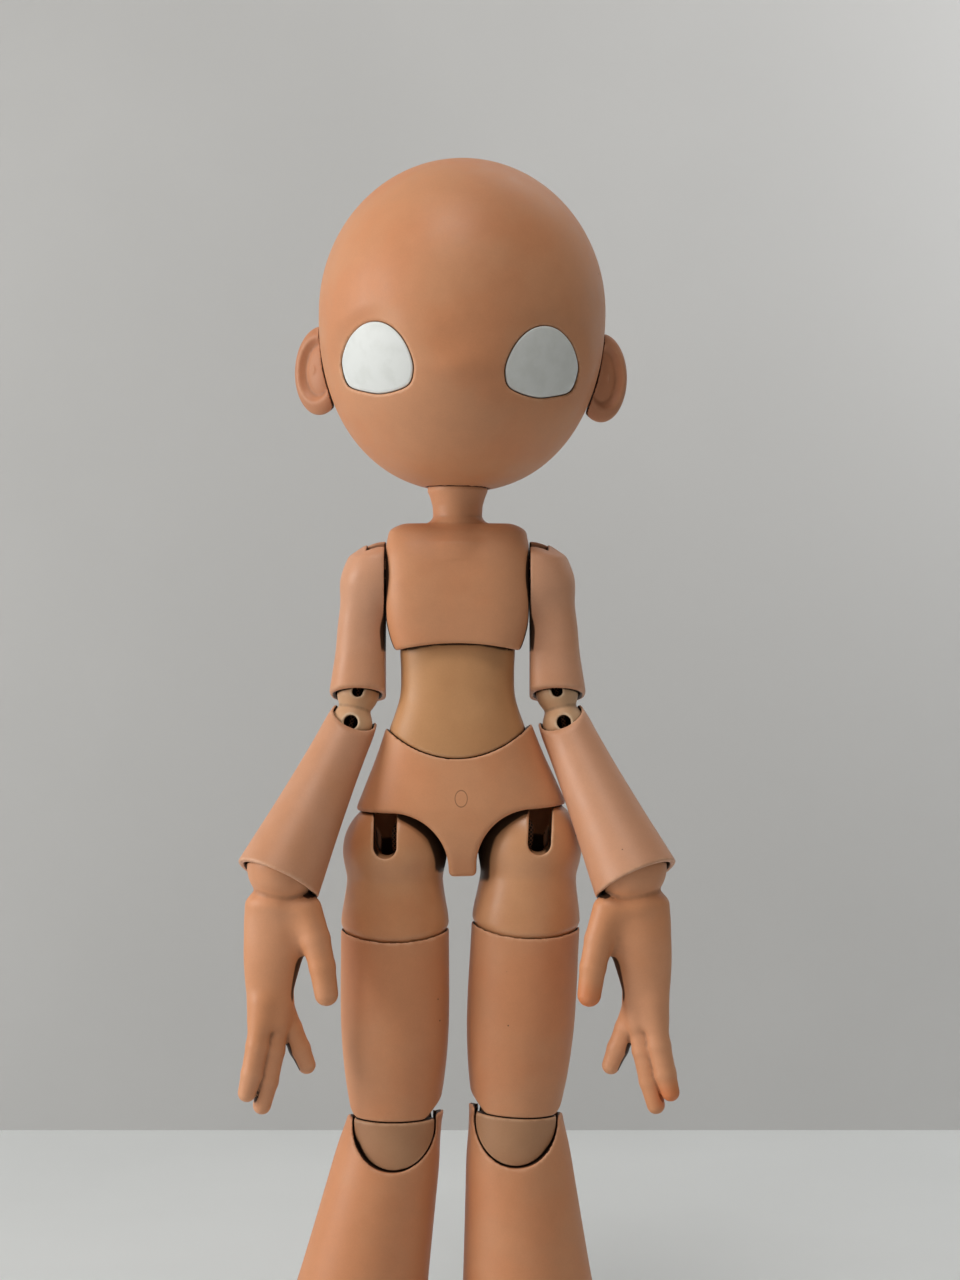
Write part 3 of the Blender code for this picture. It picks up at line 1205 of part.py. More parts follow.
def build_hooks():
    """The neck's hook hangs from its bar; the limbs' hooks stand on theirs, clear of the ball."""
    line = hook_line(NECK_HOOK_DROP, NECK_HOOK_HALF, 0.0, -NECK_BAR_RISE)
    turned_down = [(x, y, -z) for x, y, z in line]
    build_hook("neck_hook", "neck", turned_down, NECK_BAR_RISE, NECK_BAR_HALF, "X")
    for name in SIDES:
        for label, radius, axis in (("wrist", WRIST_BALL, "Y"), ("ankle", ANKLE_BALL, "X")):
            on = f"{label}_hook_{name}"
            line = hook_line(radius + HOOK_REACH, HOOK_HALF_WIDTH, radius + HOOK_WIRE, 0.0)
            build_hook(on, on, line, 0.0, LIMB_BAR_HALF, axis)


def build_doll():
    set_up_frames()
    build_head()
    build_chest()
    build_waist()
    build_pelvis()
    for name, side in SIDES.items():
        build_upper_arm(name, side)
        build_elbow(name, side)
        build_forearm(name, side)
        build_hand(name, side)
        build_upper_thigh(name, side)
        build_thigh(name, side)
        build_knee(name, side)
        build_shin(name, side)
        build_foot(name, side)
    build_hooks()
    build_elastics()


build_doll()
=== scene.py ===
"""The looks of a ball jointed doll of cast resin, standing before a pale wall.

The castings have soft cast rims round their sockets and slots, and fingers that run into the palm, which
one grid over a surface can't give. So each casting is the zero level of a field: a function of whole
arrays of points that is below zero in the resin. skinned() samples it on a lattice and draws the level
as a closed mesh. The ears, the eyes and the elastics are grids over two parameters.
"""
import math

import bpy
import numpy as np
from mathutils import Matrix, Vector


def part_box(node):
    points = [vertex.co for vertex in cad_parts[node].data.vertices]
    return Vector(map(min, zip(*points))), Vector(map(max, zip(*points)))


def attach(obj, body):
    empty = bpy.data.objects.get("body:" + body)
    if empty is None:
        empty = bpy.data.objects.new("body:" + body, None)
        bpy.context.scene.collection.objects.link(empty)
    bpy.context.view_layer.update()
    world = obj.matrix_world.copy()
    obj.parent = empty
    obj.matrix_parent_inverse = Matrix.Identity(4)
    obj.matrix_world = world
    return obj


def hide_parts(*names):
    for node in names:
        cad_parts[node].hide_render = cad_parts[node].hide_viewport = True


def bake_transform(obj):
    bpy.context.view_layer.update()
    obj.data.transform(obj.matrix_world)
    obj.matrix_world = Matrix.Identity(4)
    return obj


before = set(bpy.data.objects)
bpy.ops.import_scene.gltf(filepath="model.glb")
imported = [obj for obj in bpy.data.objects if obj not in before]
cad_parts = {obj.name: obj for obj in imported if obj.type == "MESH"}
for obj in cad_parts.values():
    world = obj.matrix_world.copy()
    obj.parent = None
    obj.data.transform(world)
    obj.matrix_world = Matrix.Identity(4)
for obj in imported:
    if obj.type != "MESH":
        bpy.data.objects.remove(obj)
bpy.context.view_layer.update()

# Fits
GAP = 0.0003
BALL_GAP = 0.00045

# Stance, in degrees
THIGH_LEAN = {"right": 0.0, "left": -3.0}
SHIN_LEAN = {"right": 11.0, "left": 4.0}
HEAD_ROLL = 1.5
ELBOW_LEAN = 12.0
ELBOW_PITCH = 8.0
FOREARM_LEAN = 24.5
FOREARM_PITCH = 20.0
HAND_LEAN = {"right": 8.0, "left": 9.0}
HAND_PITCH = 3.0

# Head
HEAD_HALF_WIDTH = 0.0429
HEAD_HALF_DEPTH = 0.0435
HEAD_CROWN = 0.0456
HEAD_JAW = 0.0534
JAW_POWER = 2.2
HEAD_WALL = 0.0030
CAP_CUT = 0.345 * HEAD_HALF_DEPTH
NECK_SEAT_WALL = 0.0029
NECK_HOLE = 0.0055
MAGNET_RADIUS = 0.0020
MAGNET_THICK = 0.0015
MAGNET_BOSS = 0.0034
MAGNET_BOSS_LENGTH = 0.0045
EYE_HALF_WIDTH = 0.0108
EYE_HALF_HEIGHT = 0.0101
EYE_SPREAD = 0.55 * HEAD_HALF_WIDTH
EYE_RISE = 0.0352
EYE_RECESS = 0.0005
EYE_EDGE = 0.0004
EYE_SINK = 0.0003
EYE_OUTLINE_SHARES = (
    (-1.00, -0.10), (-0.94, 0.30), (-0.74, 0.68), (-0.40, 0.95), (-0.02, 1.00), (0.36, 0.84),
    (0.70, 0.48), (0.94, -0.02), (1.00, -0.44), (0.84, -0.82), (0.20, -1.00), (-0.36, -0.90), (-0.82, -0.66),
)
EAR_REACH = 0.0088
EAR_THICK = 0.0042
EAR_HALF_HEIGHT = 0.0134
EAR_SPREAD = HEAD_HALF_WIDTH - 0.0005
EAR_BACK = 0.0045
EAR_RISE = 0.0357
EAR_TURN = 28.0
EAR_BOWL_OUT = 0.0034
EAR_BOWL_SHARE = 0.72
EAR_FOLD_SHIFT = (0.0010, 0.0008)
EAR_FOLD_SHARES = (0.58, 0.44, 0.62)
EAR_PEG_RADIUS = 0.0022
EAR_PEG_REACH = HEAD_HALF_WIDTH - 0.0079
EAR_WAY_START = EAR_PEG_REACH - 0.0040

# Neck and chest
NECK_BALL = 0.0090
NECK_RISE = 0.0485
NECK_BORE = 0.0042
NECK_PROFILE = (
    (0.0090, 0.0), (0.0082, -0.0020), (0.0075, -0.0045), (0.0073, -0.0078), (0.0080, -0.0106),
    (0.0097, -0.0132),
    (0.0125, -0.0158), (0.0125, -0.0190),
)
CHEST_HALF_WIDTH = 0.0213
CHEST_HEIGHT = 0.0407
CHEST_FRONT = 0.0150
CHEST_BACK = 0.0128
CHEST_POWER = 3.8
CHEST_DROP = 0.0020
CHEST_SHARES = (
    (0.000, 0.845, 0.880, 0.960), (0.062, 0.873, 0.910, 1.000), (0.123, 0.920, 0.935, 1.000),
    (0.246, 0.985, 0.970, 1.000), (0.393, 1.025, 1.000, 0.985), (0.602, 1.035, 0.985, 0.955),
    (0.786, 1.030, 0.880, 0.920), (0.884, 0.985, 0.750, 0.860), (0.958, 0.930, 0.585, 0.765),
    (1.000, 0.800, 0.400, 0.585),
)
CHEST_ARCH_RADIUS = 0.0756
CHEST_ARCH_RISE = 0.0030
ARM_BORE = 0.0048
SHOULDER_RISE = 0.0225
SHOULDER_BALL = 0.0065
SHOULDER_BALL_INSET = 0.0015
SHOULDER_DOME = 0.0114

# Waist
WAIST_BALL = 0.0239
WAIST_RISE = 0.0478
WAIST_TOP = 0.0107
WAIST_KNUCKLE = 0.0112
WAIST_HALF_WIDTH = 0.0172
WAIST_BORE = 0.0050
WAIST_POWER = 2.5
WAIST_FLARE_DROP = 0.0240
WAIST_SHARES = (
    (-1.00, 1.200, 1.205), (-0.46, 1.165, 1.150), (-0.37, 1.120, 1.125), (-0.25, 1.060, 1.090),
    (-0.12, 1.010, 1.050), (0.04, 0.985, 1.025), (0.22, 0.985, 1.010), (0.446, 1.000, 1.000),
)
WAIST_SOCKET_SHARES = ((0.765, 0.987), (0.850, 0.927), (0.935, 0.704), (0.975, 0.472), (1.000, 0.000))
WAIST_TOP_SHARES = ((0.34, 0.990), (0.65, 0.955), (0.87, 0.890), (0.98, 0.780))

# Pelvis
HIP_SPREAD = 0.0202
HIP_BALL = 0.0156
PELVIS_HALF_WIDTH = 0.0314
PELVIS_FRONT = 0.0165
PELVIS_BACK = 0.0190
PELVIS_DROP = 0.0072
PELVIS_TOP = 0.0400
PELVIS_POWER = 2.3
PELVIS_SHARES = (
    (0.000, 0.96, 0.76, 0.72), (0.170, 0.99, 0.94, 0.93), (0.420, 1.00, 1.00, 1.00),
    (0.545, 0.925, 0.94, 0.92),
    (0.730, 0.806, 0.84, 0.79), (0.940, 0.690, 0.765, 0.685), (1.000, 0.66, 0.75, 0.66),
)
LEG_OPENING = 0.0165
LEG_OPENING_SPREAD = 0.0206
LEG_OPENING_DROP = 0.0045
STRING_BORE = 0.0034
STRING_MEET = 0.0270
STRING_DROP = 0.0134
STRING_SHARE = 0.72
HIP_FUNNEL = 0.0098

# Upper thigh and thigh
THIGH_HALF_WIDTH = 0.0162
THIGH_DEPTH = 0.0150
THIGH_BALL = 0.0174
THIGH_BALL_DROP = 0.0153
THIGH_BORE = 0.0040
HIP_SLOT = 0.0034
HIP_SLOT_OUT = 0.0024
HIP_SLOT_FLOOR = 0.0011
UPPER_THIGH_FOOT = 0.0340
UPPER_THIGH_SHARES = (
    (-1.00, 1.000, 0.985), (-0.66, 1.000, 0.985), (-0.56, 0.982, 0.975), (-0.42, 0.932, 0.960),
    (-0.28, 0.890, 0.940), (-0.12, 0.885, 0.925), (0.06, 0.860, 0.880),
)
KNEE_DROP = 0.0690
THIGH_RIM = 0.0098
THIGH_SHARES = (
    (0.000, 0.815, 0.850), (0.060, 0.845, 0.870), (0.150, 0.900, 0.910), (0.260, 0.950, 0.960),
    (0.400, 0.990, 1.000), (0.560, 1.005, 1.010), (0.800, 1.000, 0.995), (1.000, 1.000, 0.985),
)
THIGH_CHAMFER_OUT = 0.0116
THIGH_CHAMFER_IN = 0.0092

# Knee and shin
KNEE_BALL = 0.0110
KNEE_SPAN = 0.0120
KNEECAP_RADIUS = 0.0119
KNEECAP_INNER = 0.0040
KNEECAP_SEAT = 0.0007
KNEECAP_FRONT = 0.0131
KNEECAP_WIDTH = 0.0138
KNEE_BACK_CUT = 0.0060
LEG_BORE = 0.0032
SHIN_LENGTH = 0.0825
SHIN_RIM_DROP = 0.0095
SHIN_EAR = 0.0026
SHIN_EAR_SLOPE = 3.0
SHIN_OVERRUN = 0.0040
SHIN_TOP_WIDTH = 0.0138
SHIN_FOOT_WIDTH = 0.0245
SHIN_DEPTH_SHARE = 0.95
SHIN_SHARES = (
    (0.00, 1.00), (0.24, 0.74), (0.48, 0.49), (0.61, 0.375), (0.74, 0.265), (0.87, 0.150), (0.95, 0.045),
    (1.00, 0.000),
)
BELL_START = 0.0012
BELL_MOUTH = 0.0210

# Foot
ANKLE_HEIGHT = 0.0300
ANKLE_BALL = 0.0130
FOOT_FRONT = 0.0410
FOOT_BACK = 0.0175
FOOT_HALF_WIDTH = 0.0132
FOOT_SHARES = (
    (0.00, 0.93, 0.965, 0.940), (0.05, 0.975, 0.990, 0.975), (0.17, 1.000, 1.000, 1.000),
    (0.34, 0.985, 0.840, 0.970), (0.52, 0.930, 0.470, 0.830), (0.70, 0.860, 0.350, 0.710),
    (0.88, 0.790, 0.255, 0.610),
)

# Upper arm
ARM_PLANE_GAP = 0.0003
ARM_WIDTH = 0.0168
ARM_DEPTH = 0.0088
ELBOW_DROP = 0.0345
ARM_RIM = 0.0038
ARM_RIM_SLOPE = 18.0
ARM_RIM_CUT = 0.0007
ARM_INNER = 0.0008
ELBOW_OUT_SHARE = 0.49
ARM_SHARES = (
    (0.000, 1.000, 1.000), (0.110, 0.995, 1.000), (0.200, 0.960, 0.970), (0.380, 0.890, 0.930),
    (0.560, 0.850, 0.960), (0.730, 0.790, 1.040), (0.880, 0.740, 1.120), (1.000, 0.600, 1.000),
)
ARM_TOP = 0.0050
ARM_STRING_BORE = 0.0034
ARM_DOWN_BORE = 0.0031
SHOULDER_SLOT_FRONT = 0.0066
SHOULDER_SLOT_BACK = 0.0022
SHOULDER_SLOT_FLOOR = 0.0007
SHOULDER_SLOT_REACH = 0.0054

# Elbow and forearm
ELBOW_BALL = 0.0063
ELBOW_SPAN = 0.0095
ELBOW_LINK = 0.0046
ELBOW_BORE = 0.0023
ELBOW_SLOT = 0.0016
ELBOW_HOLE = 0.0021
FOREARM_LENGTH = 0.0480
FOREARM_RIM_DROP = 0.0042
FOREARM_TOP = 0.0036
FOREARM_TOP_WIDTH = 0.0074
FOREARM_CUFF_WIDTH = 0.0128
FOREARM_DEPTH_SHARE = 0.97
FOREARM_SHARES = (
    (0.00, 1.00), (0.10, 0.88), (0.30, 0.625), (0.47, 0.43), (0.64, 0.255), (0.81, 0.115), (0.93, 0.030),
    (1.00, -0.08),
)
FOREARM_RIM_SLOPE = 47.0
FOREARM_RIM_SIDE = 0.0040
FOREARM_BORE = 0.0034

# Hand
WRIST_BALL = 0.0106
HAND_LENGTH = 0.0460
HAND_BREADTH = 0.0105
PALM_THICK = 0.0081
PALM_SHARES = (
    (-1.00, 0.200, 0.520, 0.44), (-0.87, 0.140, 0.600, 0.52), (-0.74, 0.080, 0.690, 0.60),
    (-0.59, 0.055, 0.800, 0.70),
    (-0.48, 0.060, 0.870, 0.76), (-0.33, 0.060, 0.950, 0.82), (-0.235, 0.020, 0.910, 0.93),
    (-0.185, 0.000, 0.760, 0.86),
    (-0.08, 0.000, 0.550, 0.72),
)
FINGER_RADIUS = 0.0033
FINGERS = {
    "index": ((0.0000, -0.0014, -0.0400), (0.0000, -0.0020, -0.0520), (0.0004, -0.0024, -0.0600),
              (0.0010, -0.0024, -0.0655)),
    "middle": ((-0.0044, 0.0012, -0.0400), (-0.0046, 0.0012, -0.0530), (-0.0042, 0.0010, -0.0620),
               (-0.0036, 0.0008, -0.0690)),
    "ring": ((-0.0045, 0.0022, -0.0390), (-0.0085, 0.0042, -0.0465), (-0.0118, 0.0052, -0.0520),
             (-0.0145, 0.0056, -0.0565)),
}
FINGER_TAPER_SHARES = (1.05, 1.00, 0.94, 0.80)
THUMB_RADIUS = 0.0036
THUMB = ((-0.0085, -0.0030, -0.0110), (-0.0125, -0.0040, -0.0190), (-0.0155, -0.0048, -0.0265),
         (-0.0178, -0.0052, -0.0340))
THUMB_TAPER_SHARES = (1.25, 1.15, 1.05, 0.95)
STEM_SLOT = 0.0017
WRIST_SLOT_SHARES = (-0.16, 0.72)
ANKLE_SLOT_SHARES = (-0.55, 0.55)

# Wire hooks and elastic
HOOK_BAR = 0.0008
HOOK_REACH = 0.0056
NECK_HOOK_DROP = 0.0090
LIMB_BAR_HALF = 0.0045
STRAND = 0.0008
STRAND_SPACING = 0.0010
STRING_END_SHARES = (0.14, 0.94)
ARM_STRING_SHARES = (0.7, 1.6)
ELBOW_STRING_SHARE = 0.85
HIP_STRING_FRONT = 0.0044
HOOK_BEND = 0.0018
CHEST_BYPASS = 0.0034
STRING_SPREAD = 0.0013

# How softly two surfaces of one casting meet
FINE_RIM = 0.0004
RIM = 0.0007
SOFT_RIM = 0.0016
FAR = 0.2

# Lattice cells, and the marks that a mesh carries: a bend in 1/m where a mark starts and its span, and lengths
HEAD_CELL = {"full": 0.00120, "quick": 0.0019}
FACE_CELL = {"full": 0.00052, "quick": 0.0010}
EYE_WINDOW = (0.0150, 0.0140)
CELLS = {
    "head_cap": 0.0010, "chest": 0.00052, "waist": 0.00052, "pelvis": 0.00056, "upper_arm": 0.00045,
    "elbow": 0.00035, "forearm": 0.00045, "hand": 0.00045, "upper_thigh": 0.00048, "thigh": 0.00056,
    "knee": 0.00045, "shin": 0.00075, "foot": 0.00070, "ear": 0.00045,
}
RIM_BEND = (260, 1100)
CORNER_BEND = (160, 900)
SEAM_REACH = 0.0004
# Heights at which a point's open air is measured, for the painted shade of enclosed places
OPEN_HEIGHTS = (0.0020, 0.0040, 0.0080)

# The stage
WALL_BACK = 0.459
STAGE_REACH = 3.0
STAGE_FRONT = 2.0
WALL_DROP = 1.0

SIDES = {"right": -1.0, "left": 1.0}
PLACES = {}


def turn(axis, degrees):
    return np.array(Matrix.Rotation(math.radians(degrees), 3, axis))


def leaning(side, lean, pitch):
    """Rotation of a frame whose -Z leans outward on its side and pitches forward."""
    return turn("Y", -side * lean) @ turn("X", -pitch)


def hang(name, parent, place, rotation):
    """A frame's centre is its parent's centre plus the place turned by the parent; its turn is the
    world's own."""
    start, along = PLACES[parent] if parent else (np.zeros(3), np.eye(3))
    PLACES[name] = (start + along @ np.array(place, float), rotation)


def stand():
    """Stands the chain of frames on level ankles, as the castings do."""
    reach = {}
    for name in SIDES:
        thigh = (KNEE_DROP + KNEE_SPAN) * math.cos(math.radians(THIGH_LEAN[name]))
        reach[name] = thigh + SHIN_LENGTH * math.cos(math.radians(SHIN_LEAN[name]))
    roll = math.asin((reach["left"] - reach["right"]) / (2 * HIP_SPREAD))
    hip_line = ANKLE_HEIGHT + (reach["left"] + reach["right"]) / 2
    upright = np.eye(3)
    hang("pelvis", None, (WAIST_RISE * math.sin(roll) / 2, 0, hip_line), turn("Y", -math.degrees(roll)))
    hang("waist", "pelvis", (0, 0, WAIST_RISE), upright)
    hang("chest", "waist", (0, 0, WAIST_TOP), upright)
    hang("neck", "chest", (0, 0, NECK_RISE), upright)
    hang("head", "neck", (0, 0, 0), turn("Y", HEAD_ROLL))
    for name, side in SIDES.items():
        thigh = leaning(side, THIGH_LEAN[name], 0)
        shin = leaning(side, SHIN_LEAN[name], 0)
        forearm = leaning(side, FOREARM_LEAN, FOREARM_PITCH)
        hang(f"hip_{name}", "pelvis", (side * HIP_SPREAD, 0, 0), thigh)
        hang(f"thigh_{name}", f"hip_{name}", (0, 0, -THIGH_BALL_DROP), thigh)
        hang(f"knee_{name}", f"hip_{name}", (0, 0, -KNEE_DROP), thigh)
        hang(f"shin_{name}", f"knee_{name}", (0, 0, -KNEE_SPAN), shin)
        hang(f"ankle_hook_{name}", f"shin_{name}", (0, 0, -SHIN_LENGTH), shin)
        hang(f"foot_{name}", f"ankle_hook_{name}", (0, 0, 0), upright)
        hang(f"arm_{name}", "chest", (side * (CHEST_HALF_WIDTH + ARM_PLANE_GAP), 0, SHOULDER_RISE), upright)
        out = side * ELBOW_OUT_SHARE * ARM_WIDTH
        hang(f"elbow_{name}", f"arm_{name}", (out, 0, -ELBOW_DROP), leaning(side, ELBOW_LEAN, ELBOW_PITCH))
        hang(f"forearm_{name}", f"elbow_{name}", (0, 0, -ELBOW_SPAN), forearm)
        hang(f"wrist_hook_{name}", f"forearm_{name}", (0, 0, -FOREARM_LENGTH), forearm)
        hang(f"hand_{name}", f"wrist_hook_{name}", (0, 0, 0), leaning(side, HAND_LEAN[name], HAND_PITCH))


def seen_from(name, points):
    """World points in a frame's own axes."""
    centre, rotation = PLACES[name]
    return (points - centre) @ rotation


def put_from(name, points):
    """A frame's own points in the world."""
    centre, rotation = PLACES[name]
    return np.asarray(points, float) @ rotation.T + centre


# Fields. Each takes an array of points in a frame's axes and gives about the distance to its surface.


def both(a, b, soft=RIM):
    """What lies in both: the larger value, raised by (soft - |a - b|)^2 / 4 soft where the two are near."""
    near = np.maximum(soft - np.abs(a - b), 0)
    return np.maximum(a, b) + near * near / (4 * soft)


def either(a, b, soft=RIM):
    """What lies in one or the other: the smaller value, lowered where the two are near."""
    return -both(-a, -b, soft)


def without(a, b, soft=RIM):
    return both(a, -b, soft)


def ball(q, radius, centre=(0, 0, 0)):
    return np.linalg.norm(q - np.array(centre, float), axis=1) - radius


def drum(q, radius, start, end, end_radius=None):
    """Distance from the line start to end less a radius that runs evenly to end_radius, cut square at
    both ends."""
    start = np.array(start, float)
    along = np.array(end, float) - start
    length = np.linalg.norm(along)
    along /= length
    rise = (q - start) @ along
    away = np.linalg.norm(q - start - rise[:, None] * along, axis=1)
    wide = radius if end_radius is None else radius + (end_radius - radius) * np.clip(rise / length, 0, 1)
    return np.maximum(away - wide, np.maximum(-rise, rise - length))


def block(q, low, high, rotation=None, pivot=(0, 0, 0)):
    """The largest of how far a point lies beyond each face of a box, which may be turned about a pivot."""
    if rotation is not None:
        pivot = np.array(pivot, float)
        q = (q - pivot) @ rotation + pivot
    return np.maximum(np.array(low) - q, q - np.array(high)).max(axis=1)


def bullet(q, radius):
    """A ball below its centre and a cylinder of the same radius above."""
    flat = np.hypot(q[:, 0], q[:, 1])
    return np.where(q[:, 2] > 0, flat, np.hypot(flat, q[:, 2])) - radius


def stadium(q, half_width, low, front, back, centre=0.0):
    """A slot along Y, round below at low and open above."""
    rise = np.minimum(q[:, 2] - low - half_width, 0)
    across = np.hypot(q[:, 0] - centre, rise) - half_width
    return np.maximum(across, np.maximum(front - q[:, 1], q[:, 1] - back))


def eased(rows, count=90):
    """Rows at evenly spaced heights on the cubic with each given row's own slope, whose first value
    climbs."""
    rows = np.array(rows, float)
    height = rows[:, 0]
    slope = np.gradient(rows, height, axis=0)
    at = np.linspace(height[0], height[-1], count)
    i = np.clip(np.searchsorted(height, at, side="right") - 1, 0, len(height) - 2)
    span = (height[i + 1] - height[i])[:, None]
    u = (at - height[i])[:, None] / span
    lower = rows[i] * (2 * u**3 - 3 * u**2 + 1) + slope[i] * span * (u**3 - 2 * u**2 + u)
    upper = rows[i + 1] * (3 * u**2 - 2 * u**3) + slope[i + 1] * span * (u**3 - u**2)
    return np.clip(lower + upper, rows.min(axis=0), rows.max(axis=0))


def loft(q, rows, power=2.0, soft=RIM):
    """A skin through level ovals (height, centre x, half width, front, back).

    With n the size of the oval that a point lies on, as a share of the level's own, the value is the point's
    distance from the axis times 1 - 1/n. The ends are flat.
    """
    height = rows[:, 0]
    centre, wide, front, back = (np.interp(q[:, 2], height, rows[:, i]) for i in (1, 2, 3, 4))
    across = q[:, 0] - centre
    deep = np.where(q[:, 1] > 0, back, front)
    share = ((np.abs(across) / wide) ** power + (np.abs(q[:, 1]) / deep) ** power) ** (1 / power)
    away = np.hypot(across, q[:, 1])
    side = away - away / np.maximum(share, 1e-6)
    ends = np.maximum(height[0] - q[:, 2], q[:, 2] - height[-1])
    return both(side, ends, soft)


def turned_profile(q, profile):
    """Distance from Z less the profile's radius at the point's height; the profile's heights climb."""
    profile = np.array(profile)
    return np.hypot(q[:, 0], q[:, 1]) - np.interp(q[:, 2], profile[:, 1], profile[:, 0])


def digit(q, path, radius, tapers):
    """The nearest of the path's straight runs, each a cone whose ends are balls."""
    nearest = None
    for a, b, wide, narrow in zip(path, path[1:], tapers, tapers[1:]):
        a = np.array(a)
        run = np.array(b) - a
        share = np.clip((q - a) @ run / (run @ run), 0, 1)
        away = np.linalg.norm(q - a - share[:, None] * run,
                              axis=1) - radius * (wide + (narrow - wide) * share)
        nearest = away if nearest is None else either(nearest, away, RIM)
    return nearest


def egg(q, inset=0.0):
    """The skull: an ellipsoid above its widest level, a fuller one of power JAW_POWER below, drawn in by
    inset."""
    rise = q[:, 2] - HEAD_JAW
    level = np.abs(rise) / np.where(rise > 0, HEAD_CROWN - inset, HEAD_JAW - inset)
    across = np.hypot(q[:, 0] / (HEAD_HALF_WIDTH - inset), q[:, 1] / (HEAD_HALF_DEPTH - inset))
    power = np.where(rise > 0, 2.0, JAW_POWER)
    share = (across**power + level**power) ** (1 / power)
    away = np.sqrt(q[:, 0] ** 2 + q[:, 1] ** 2 + rise**2)
    return away - away / np.maximum(share, 1e-6)


def smooth_outline(points, count):
    """A closed outline on the Catmull-Rom curve through the given points."""
    points = np.array(points, float)
    total = len(points)
    at = np.linspace(0, total, count, endpoint=False)
    i = at.astype(int)
    u = (at - i)[:, None]
    before, here, after, beyond = (points[(i + k) % total] for k in (-1, 0, 1, 2))
    curve = 2 * here + (after - before) * u + (2 * before - 5 * here + 4 * after - beyond) * u**2
    return (curve + (3 * here - before - 3 * after + beyond) * u**3) / 2


def eye_outline(side, inset, count=240):
    """The eye's (x, z) outline, drawn in by inset."""
    wide = EYE_HALF_WIDTH - inset
    high = EYE_HALF_HEIGHT - inset
    points = [(side * (EYE_SPREAD - x * wide), EYE_RISE + z * high) for x, z in EYE_OUTLINE_SHARES]
    return smooth_outline(points, count)


def eye_reach(side, inset):
    """The outline about the eye's middle, as a table of reach by angle."""
    away = eye_outline(side, inset) - (side * EYE_SPREAD, EYE_RISE)
    angle = np.arctan2(away[:, 1], away[:, 0])
    order = np.argsort(angle)
    return angle[order], np.hypot(*away[order].T)


def eye_column(q, side, inset):
    """Distance from the outline: reach less the outline's reach at that angle, shortened where the
    outline slants."""
    x = q[:, 0] - side * EYE_SPREAD
    z = q[:, 2] - EYE_RISE
    angles, reaches = eye_reach(side, inset)
    slant = np.gradient(reaches, angles) / reaches
    at = np.arctan2(z, x)
    reach = np.interp(at, angles, reaches, period=2 * math.pi)
    lean = np.interp(at, angles, slant, period=2 * math.pi)
    return (np.hypot(x, z) - reach) / np.sqrt(1 + lean * lean)


# Castings, each a field over world points


def magnet_heights():
    share = CAP_CUT / HEAD_HALF_DEPTH
    top = HEAD_JAW + HEAD_CROWN * math.sqrt(1 - share * share)
    bottom = HEAD_JAW - HEAD_JAW * (1 - share**JAW_POWER) ** (1 / JAW_POWER)
    inward = HEAD_WALL + MAGNET_BOSS / 2
    return top - inward, bottom + inward


def skull(q, facing, plane):
    """The egg's wall on one side of the cap's plane, with the bosses and pockets of its magnets."""
    seat_block = ball(q, NECK_BALL + BALL_GAP + NECK_SEAT_WALL)
    hollow = without(egg(q, HEAD_WALL), seat_block, RIM)
    wall = np.maximum(egg(q), -hollow)
    wall = both(wall, facing * (plane - q[:, 1]), FINE_RIM)
    for height in magnet_heights():
        boss = drum(q, MAGNET_BOSS, (0, plane, height), (0, plane + facing * MAGNET_BOSS_LENGTH, height))
        wall = either(wall, boss, FINE_RIM)
    for height in magnet_heights():
        start = (0, plane - facing * MAGNET_BOSS, height)
        wall = without(wall,
                       drum(q, MAGNET_RADIUS + GAP, start,
                            (0, plane + facing * (MAGNET_THICK + GAP), height)), FINE_RIM)
    return wall


def face_relief(q):
    """A low bridge between the eyes and a fold under each: bell curves over x and z, on the face only."""
    bridge = 0.0006 * np.exp(-(q[:, 0] / 0.0075) ** 2 - ((q[:, 2] - 0.0322) / 0.0036) ** 2)
    brow = 0.0004 * np.exp(-(q[:, 0] / 0.0100) ** 2 - ((q[:, 2] - 0.0400) / 0.0040) ** 2)
    return np.where(q[:, 1] < 0, bridge - brow, 0)


def eye_hollow(q, side, column):
    """How far the face is drawn in round an eye: most at its upper outer edge, and less as a bell curve
    of the distance from the outline."""
    out = np.stack([q[:, 0] - side * EYE_SPREAD, q[:, 2] - EYE_RISE], axis=1)
    toward = (out @ np.array([side * 0.75, 0.66])) / np.maximum(np.linalg.norm(out, axis=1), 1e-6)
    depth = 0.0002 + 0.0011 * np.clip(0.35 + 0.65 * toward, 0, 1) ** 2
    return np.where(q[:, 1] < 0, depth * np.exp(-(np.maximum(column, 0) / 0.0036) ** 2), 0)


def head_shell(points):
    q = seen_from("head", points)
    shell = skull(q, -1, CAP_CUT) - face_relief(q)
    shell = without(shell, ball(q, NECK_BALL + BALL_GAP), RIM)
    shell = without(shell, drum(q, NECK_HOLE, (0, 0, 0), (0, 0, HEAD_JAW)), FINE_RIM)
    for side in SIDES.values():
        column = eye_column(q, side, 0.0)
        shell = np.maximum(shell, egg(q) - face_relief(q) + eye_hollow(q, side, column))
        shell = without(shell, np.maximum(column, q[:, 1] + CAP_CUT), RIM)
        way = drum(q, EAR_PEG_RADIUS + GAP, (side * EAR_WAY_START, EAR_BACK, EAR_RISE),
                   (side * FAR, EAR_BACK, EAR_RISE))
        shell = without(shell, way, FINE_RIM)
    return shell


def head_cap(points):
    return skull(seen_from("head", points), 1, CAP_CUT + GAP)


CHEST_ROWS = eased([
    (share * CHEST_HEIGHT - CHEST_DROP, 0, width * CHEST_HALF_WIDTH, front * CHEST_FRONT, back * CHEST_BACK)
    for share, width, front, back in CHEST_SHARES
])


